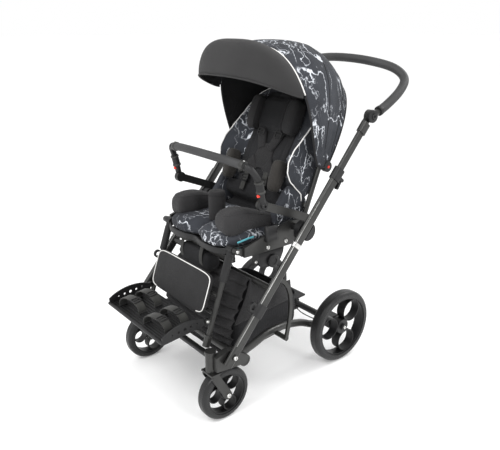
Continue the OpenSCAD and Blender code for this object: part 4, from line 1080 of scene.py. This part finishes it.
def hood():
    rows = 30
    canopy = sheet_piece("hood_canopy", [[canopy_point(t, i / rows) for t in WHOLE_ARCH]
                                         for i in range(rows + 1)],
                         MARBLE, 0.0016, None, LINING)
    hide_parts("hood_rear", "hood_mid")
    ends = canopy_point(90, 0), canopy_point(90, 1)
    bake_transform(canopy)

    tips = [t for t in WHOLE_ARCH if sin(radians(t)) > VISOR_CORNER]
    visor_grid = [[visor_point(0.0, t, i / 24) for t in tips] for i in range(25)]
    visor = sheet_piece("hood_visor_cover", visor_grid, GREY_FABRIC, 0.003, "hood_front", LINING)
    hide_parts("hood_visor")
    seam = [hood_point(-0.0012, t, hood_edges(t)[1] + 0.2) for t in tips]
    tube_piece("hood_seam_piping", seam, 0.0024, PIPING, "hood_front", 10)
    lip = [visor_point(0.001, t, 1.0) for t in tips]
    tube_piece("hood_lip_hem", lip, 0.0030, GREY_FABRIC, "hood_front", 10)

    for side, low, high in (("left", 0.0, 29.0), ("right", 151.0, 180.0)):
        binding = [canopy_point(t, 1.0) for t in arch_angles(low, high, 24)]
        tube_piece(f"hood_front_binding_{side}", binding, 0.0036, BLACK_FABRIC, "hood_front", 10)
    rear_edge = [canopy_point(t, 0.0) for t in WHOLE_ARCH]
    tube_piece("hood_rear_hem", rear_edge, 0.0030, BLACK_FABRIC, "back", 10)
    for name, v in (("rear", 0.16), ("middle", 0.55)):
        seam = [canopy_point(t, v, 0.0004) for t in arch_angles(3.0, 177.0, 80)]
        line = tube_piece(f"hood_seam_{name}", seam, 0.0011, BLACK_FABRIC, None, 6)
        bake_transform(line)
    for side, sign in SIDES:
        hub = hood_hinge + vec(sign * (HOOD_HALF_WIDTH - 0.0005), 0, 0)
        turned_piece(f"hood_hub_{side}", HOOD_HUB, hub, (sign, 0, 0), BLACK_PLASTIC, "back", 36, True)


# Legrest and footplate

CALF_HEIGHT = 0.140
CALF_THICK = 0.018
CALF_N = -0.0238
CALF_S = -0.171
CALF_CORNER = 0.26
FOOT_FLOOR = -0.009
FOOT_ALONG = foot_at(0, 1, 0) - foot_at(0, 0, 0)


def calf_pad():
    half = box_of("calf_pad")[1].x

    def place(p):
        return leg_at(p.x, CALF_N + p.z, CALF_S + p.y)

    def shape(p):
        return vec(p.x, p.y, p.z + ripple(p, 18, 0.0008))
    obj = pad_piece("calf_pad_cover", vec(2 * half, CALF_HEIGHT, CALF_THICK), place, CALF_FABRIC,
                    "leg_slider", 0.30, CALF_CORNER, 96, 16, shape)
    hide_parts("calf_pad")
    edge = [leg_at(x, CALF_N - CALF_THICK * 0.42, CALF_S + y)
            for x, y in rounded(sweep(-66, 246, 120), half - 0.002, CALF_HEIGHT / 2 - 0.002, CALF_CORNER)]
    tube_piece("calf_pad_piping", edge, 0.0018, PIPING, "leg_slider", 8)


def foot_straps():
    for side, sign in reversed(SIDES):
        for row, y in (("rear", -0.064), ("front", -0.128)):
            arc = [foot_at(sign * 0.086 + 0.052 * cos(a), y + 0.010 * cos(a),
                           FOOT_FLOOR + 0.001 + 0.044 * sin(a) ** 0.7)
                           for a in (pi * k / 24 for k in range(25))]
            name = f"foot_strap_{side}_{row}"
            strap = band_piece(name, arc, FOOT_ALONG, 0.030, 0.0024, STRAP, "foot", 0.2)
            buckle(f"{name}_buckle", arc[8] + vec(0, 0, 0.002), FOOT_ALONG, arc[9] - arc[7], 0.030, 0.020,
                   "foot")
            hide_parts("foot_straps")
    for k in range(14):
        y = -0.020 - 0.0105 * k
        rib = [foot_at(x, y, FOOT_FLOOR + z) for x, z in ((-0.165, 0.0006), (0, 0.0008), (0.165, 0.0006))]
        band_piece(f"foot_mat_rib_{k + 1}", rib, FOOT_ALONG, 0.006, 0.0026, BLACK_PLASTIC, "foot", 0.5, 8)


# Basket

BASKET_REAR_HALF = 0.165
PLEATS = 9
PLEAT_ROWS = 10
POUCH_SIZE = vec(0.180, 0.072, 0.084)


def basket():
    low, high = box_of("basket")
    loop = []
    for px, py in rounded(turn(96), 1, 1, 0.28):
        back_share = 0.5 + 0.5 * py
        loop.append((px * lerp(high.x, BASKET_REAR_HALF, back_share), lerp(low.y, high.y, back_share)))
    steps = len(loop)
    middle = (low.y + high.y) / 2
    rows = 16
    verts = []
    for i in range(rows + 1):
        h = i / rows
        pull = 0.70 + 0.30 * sin(pi / 2 * min(1.0, h / 0.55))
        z = lerp(low.z, high.z, h ** 1.4)
        for x, y in loop:
            share = pull - 0.004 * mnoise.noise(vec(x * 18, y * 18, h * 4))
            verts.append(vec(x * share, lerp(middle, y, share), z))
    faces = grid_faces(rows + 1, steps, wrap=True)
    faces += [(k, (k + 1) % steps, len(verts)) for k in range(steps)]
    verts.append(vec(0, middle, low.z + 0.002))
    obj = piece("basket_bag", verts, faces, BLACK_FABRIC)
    thicken(obj, 0.002)
    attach(obj, "base")
    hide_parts("basket")
    rim = [vec(x, y, high.z - 0.002) for x, y in loop]
    tube_piece("basket_hem", rim, 0.0035, BLACK_FABRIC, "base", 8, True)


def basket_panel():
    half = box_of("basket_panel")[1].x
    base_low, base_high = box_of("basket")
    cross_low, cross_high = box_of("frame_cross_tube")
    foot_y, head_y = base_low.y + 0.001, cross_low.y - 0.004
    foot_z, head_z = base_high.z - 0.004, cross_high.z
    start, end = vec(0, foot_y, foot_z), vec(0, head_y, head_z)
    rows, cols = PLEATS * PLEAT_ROWS, 40
    line = spline([
        vec(0, foot_y + 0.010, base_low.z + 0.006), vec(0, foot_y - 0.004, lerp(base_low.z, foot_z, 0.5)),
        vec(0, foot_y - 0.003, foot_z), vec(0, lerp(foot_y, head_y, 0.45), lerp(foot_z, head_z, 0.5)), end,
    ], rows // 4 + 1)

    def front_point(u, v):
        puff = abs(sin(pi * PLEATS * v)) ** 0.6
        bow = 0.012 * (1 - u * u) * sin(pi * v)
        wrinkle = 0.002 * mnoise.noise(vec(u * 4, v * 14, 1.0))
        return line[round(v * (len(line) - 1))] + vec(u * half, -0.013 * puff - bow + wrinkle, -bow)
    grid = [[front_point(2 * j / cols - 1, i / rows) for j in range(cols + 1)] for i in range(rows + 1)]
    front = sheet_piece("basket_front", grid, PAD_FABRIC, 0.002)
    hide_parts("basket_panel")
    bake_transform(front)
    for k in range(1, PLEATS):
        seam = [p + vec(0, -0.0012, 0) for p in grid[k * PLEAT_ROWS]]
        thread = tube_piece(f"basket_seam_{k}", seam, 0.0014, GREY_FABRIC, None, 6)
        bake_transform(thread)

    def side_point(sign, w, v):
        reach = lerp(0.30, 0.185, v)
        fold = 0.008 * sin(3.0 * pi * w + 2 * v) * sin(pi * v)
        rim = lerp(half, BASKET_REAR_HALF, reach * w / (base_high.y - base_low.y)) + 0.002
        return vec(sign * (lerp(rim, half, v ** 0.6) + fold), lerp(foot_y, head_y, v) + reach * w,
                   lerp(foot_z, head_z, v) - 0.058 * w * v - 0.02 * v * sin(pi * w))
    for side, sign in SIDES:
        gusset = [[side_point(sign, j / 24, i / 24) for j in range(25)] for i in range(25)]
        panel = sheet_piece(f"basket_side_{side}", gusset, PAD_FABRIC, 0.002, inward=sign > 0)
        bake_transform(panel)


def pouch():
    """The rolled rain cover hung under the seat rail."""
    low, high = box_of("basket_rail")
    centre = vec(-0.030, (low.y + high.y) / 2 + 0.002, low.z - 0.036)

    def shape(p):
        return vec(p.x, p.y, p.z + ripple(p, 20, 0.003))
    made = [pad_piece("seat_pouch", POUCH_SIZE, lambda p: centre + p, BLACK_FABRIC, "seat", 0.6, 0.45, 56, 28,
                      shape)]
    for side, x in (("right", -0.090), ("left", 0.030)):
        loop = [vec(x, centre.y + y, centre.z + 0.0158 + z) for y, z in rounded(turn(32), 0.0372, 0.0592, 1)]
        made.append(band_piece(f"pouch_strap_{side}", loop + loop[:1], ACROSS, 0.018, 0.002, STRAP, "seat",
                               0.3, 12))
    for obj in made:
        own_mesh(obj)


# Fittings

TILT_STOP = ((0.024, -0.002), (0.024, 0.008), (0.021, 0.011), (0.012, 0.012), (0.010, 0.009), (0.001, 0.009))
TILT_LINK = ((0, 0, -0.006), (-0.010, -0.030, 0.016), (-0.012, -0.072, 0.030))
LEG_SLEEVE = ((0.0128, 0.0), (0.0136, 0.001), (0.0136, 0.089), (0.0128, 0.090), (0.0097, 0.090),
              (0.0097, 0.0))
# Plates on the seat: name, place across, behind and above the tilt pivot, widths, thickness, corners
SEAT_PLATES = (
    ("tilt_bracket", 0.212, -0.092, (-0.130, -0.112, -0.090, -0.062), [0.066, 0.104, 0.124, 0.132], 0.012,
     BLACK_PLASTIC, 0.25),
    ("tilt_hanger", 0.2225, -0.162, (-0.104, -0.090, -0.052), [0.016, 0.022, 0.026], 0.006, BLACK_METAL,
     0.25),
    ("seat_clamp", 0.2345, -0.104, (-0.026, 0.0, 0.026), 0.050, 0.015, BLACK_PLASTIC, 0.2),
)
# Bolts by a joint: name, joint, width from the middle, offset behind and above it, radius, body
JOINT_BOLTS = (
    ("fold_bolt", "frame_fold", 0.3138, 0, 0, 0.0078, "base"),
    ("tilt_bolt", "seat_tilt", 0.2318, -0.035, -0.045, 0.0075, "seat"),
    ("tilt_bolt_front", "seat_tilt", 0.2318, -0.115, -0.050, 0.0075, "seat"),
    ("tilt_hanger_bolt", "seat_tilt", 0.2254, -0.162, -0.094, 0.0055, "seat"),
    ("leg_bolt", "legrest_angle", 0.2238, 0, 0, 0.0065, "seat"),
    ("foot_bolt", "footplate_flip", 0.1930, 0, 0, 0.0055, "leg_slider"),
)
TAG_HALF_X = 0.0096
TAG_HALF_N = 0.0186


def fittings():
    """Brackets, stops, links, sleeves and bolts, mirrored from side to side, and a thin bright strip on each
    main tube as a painted highlight.
    """
    tilt = pivot("seat_tilt")
    for side, sign in SIDES:
        out = vec(sign, 0, 0)
        for name, x, y, heights, widths, thickness, material, power in SEAT_PLATES:
            plate = [vec(sign * x, tilt.y + y, tilt.z + z) for z in heights]
            band_piece(f"{name}_{side}", plate, ALONG_Y, widths, thickness, material, "seat", power)
        for name, joint, x, y, z, radius, body in JOINT_BOLTS:
            at = pivot(joint)
            bolt(f"{name}_{side}", vec(sign * x, at.y + y, at.z + z), out, radius, body)
        stop = vec(sign * 0.2175, tilt.y - 0.082, tilt.z - 0.110)
        turned_piece(f"tilt_stop_{side}", TILT_STOP, stop, out, BLACK_PLASTIC, "seat")
        link = [stop + vec(sign * x, y, z) for x, y, z in TILT_LINK]
        tube_piece(f"tilt_link_{side}", spline(link, 6), 0.006, BLACK_METAL, "seat", 12)
        top = leg_at(sign * LEG_X, 0.0, -0.022)
        down = leg_at(0, 0, -1) - leg_at(0, 0, 0)
        turned_piece(f"leg_sleeve_{side}", LEG_SLEEVE, top, down, BLACK_PLASTIC, "legrest", 28, True)
        # A thin bright strip along each main tube's front edge: a painted highlight.
        edge = [tube_point(s, -0.0158, sign, 0.0078) for s in (0.07, 0.25, 0.44, 0.62)]
        tube_piece(f"main_tube_painted_highlight_{side}", edge, 0.0016, PAINTED_TUBE_HIGHLIGHT, "main_frame", 8)
        bolt(f"foot_bracket_bolt_{side}", leg_at(sign * 0.1932, 0.0, -0.262), out, 0.0055, "leg_slider")
        front, rear = (Vector(joints[f"{wheel}_spin_{side}"]["pos_m"]) for wheel in ("front", "rear"))
        bolt(f"castor_bolt_{side}", front + out * 0.0308, out, 0.0085, f"castor_{side}")
        bolt(f"castor_bolt_inner_{side}", front - out * 0.0308, -out, 0.0085, f"castor_{side}")
        bolt(f"rear_hub_bolt_{side}", rear + out * 0.0288, out, 0.0070, "base")

    # The tag is a clip, open on the tube's inner face, where the strut slides past
    clip = [[tube_point(s, n, 1, x)
             for x, n in rounded(sweep(-112, 112, 40), TAG_HALF_X * grow, TAG_HALF_N * grow, 0.6)]
            for s, grow in ((0.446, 1.006), (0.447, 1.018), (0.461, 1.018), (0.462, 1.006))]
    sheet_piece("main_tube_tag", clip, SILVER, 0.0006, "main_frame")


# Stage, light and camera

CAMERA_AT = (1.6265, -1.3183, 1.2741)
CAMERA_AZIMUTH = 51.109
CAMERA_ELEVATION = 19.037
CAMERA_LENS = 42.23
LAMP_TARGET = vec(0, 0, 0.6)
FLOOR_HALF = 60
# Name, place, size and power
LAMPS = (
    ("key", (0.4, -2.6, 3.2), 1.6, 70), ("side", (3.0, -0.2, 2.2), 1.2, 30),
    ("rim", (0.6, 3.0, 2.8), 1.6, 50),
)


def stage():
    look = Look("pale_floor")
    cloud = look.noise(look.coordinates(), 2.0, 3.0)
    look.shade(Base_Color=look.ramp(cloud, 0.2, (0.88, 0.88, 0.88), 0.8, (0.92, 0.92, 0.92)), Roughness=0.9,
               Specular_IOR_Level=0.1, Emission_Color=(1, 1, 1), Emission_Strength=0.12)
    corners = [(x * FLOOR_HALF, y * FLOOR_HALF, 0) for x, y in ((-1, -1), (1, -1), (1, 1), (-1, 1))]
    floor = piece("floor", corners, [(0, 1, 2, 3)], look.material)
    scene.world = bpy.data.worlds.new("studio")
    scene.world.use_nodes = True
    background = scene.world.node_tree.nodes["Background"]
    background.inputs["Color"].default_value = (1, 1, 1, 1)
    background.inputs["Strength"].default_value = 1.0
    for name, at, size, power in LAMPS:
        light = bpy.data.lights.new(name, "AREA")
        light.shape = "DISK"
        light.size = size
        light.energy = power
        obj = bpy.data.objects.new(name, light)
        obj.location = at
        obj.rotation_euler = (LAMP_TARGET - Vector(at)).to_track_quat("-Z", "Y").to_euler()
        scene.collection.objects.link(obj)


def camera():
    a, e = radians(CAMERA_AZIMUTH), radians(CAMERA_ELEVATION)
    back = vec(sin(a) * cos(e), -cos(a) * cos(e), sin(e))
    right = vec(cos(a), sin(a), 0)
    lens = bpy.data.cameras.new("photo_camera")
    lens.lens = CAMERA_LENS
    lens.sensor_width = 36
    lens.sensor_fit = "HORIZONTAL"
    lens.clip_start = 0.05
    obj = bpy.data.objects.new("photo_camera", lens)
    obj.matrix_world = Matrix((right, back.cross(right), back)).transposed().to_4x4()
    obj.location = CAMERA_AT
    scene.collection.objects.link(obj)
    scene.camera = obj


camera()
push_handle()
grab_bar()
seat_cushion()
for side, sign in SIDES:
    thigh_pad(side, sign)
abductor()
hip_lining()
back_cushion()
trunk_pads()
headrest()
harness()
hood()
hood_drop()
calf_pad()
foot_straps()
basket()
basket_panel()
pouch()
fittings()
stage()

scene.view_settings.view_transform = "Standard"
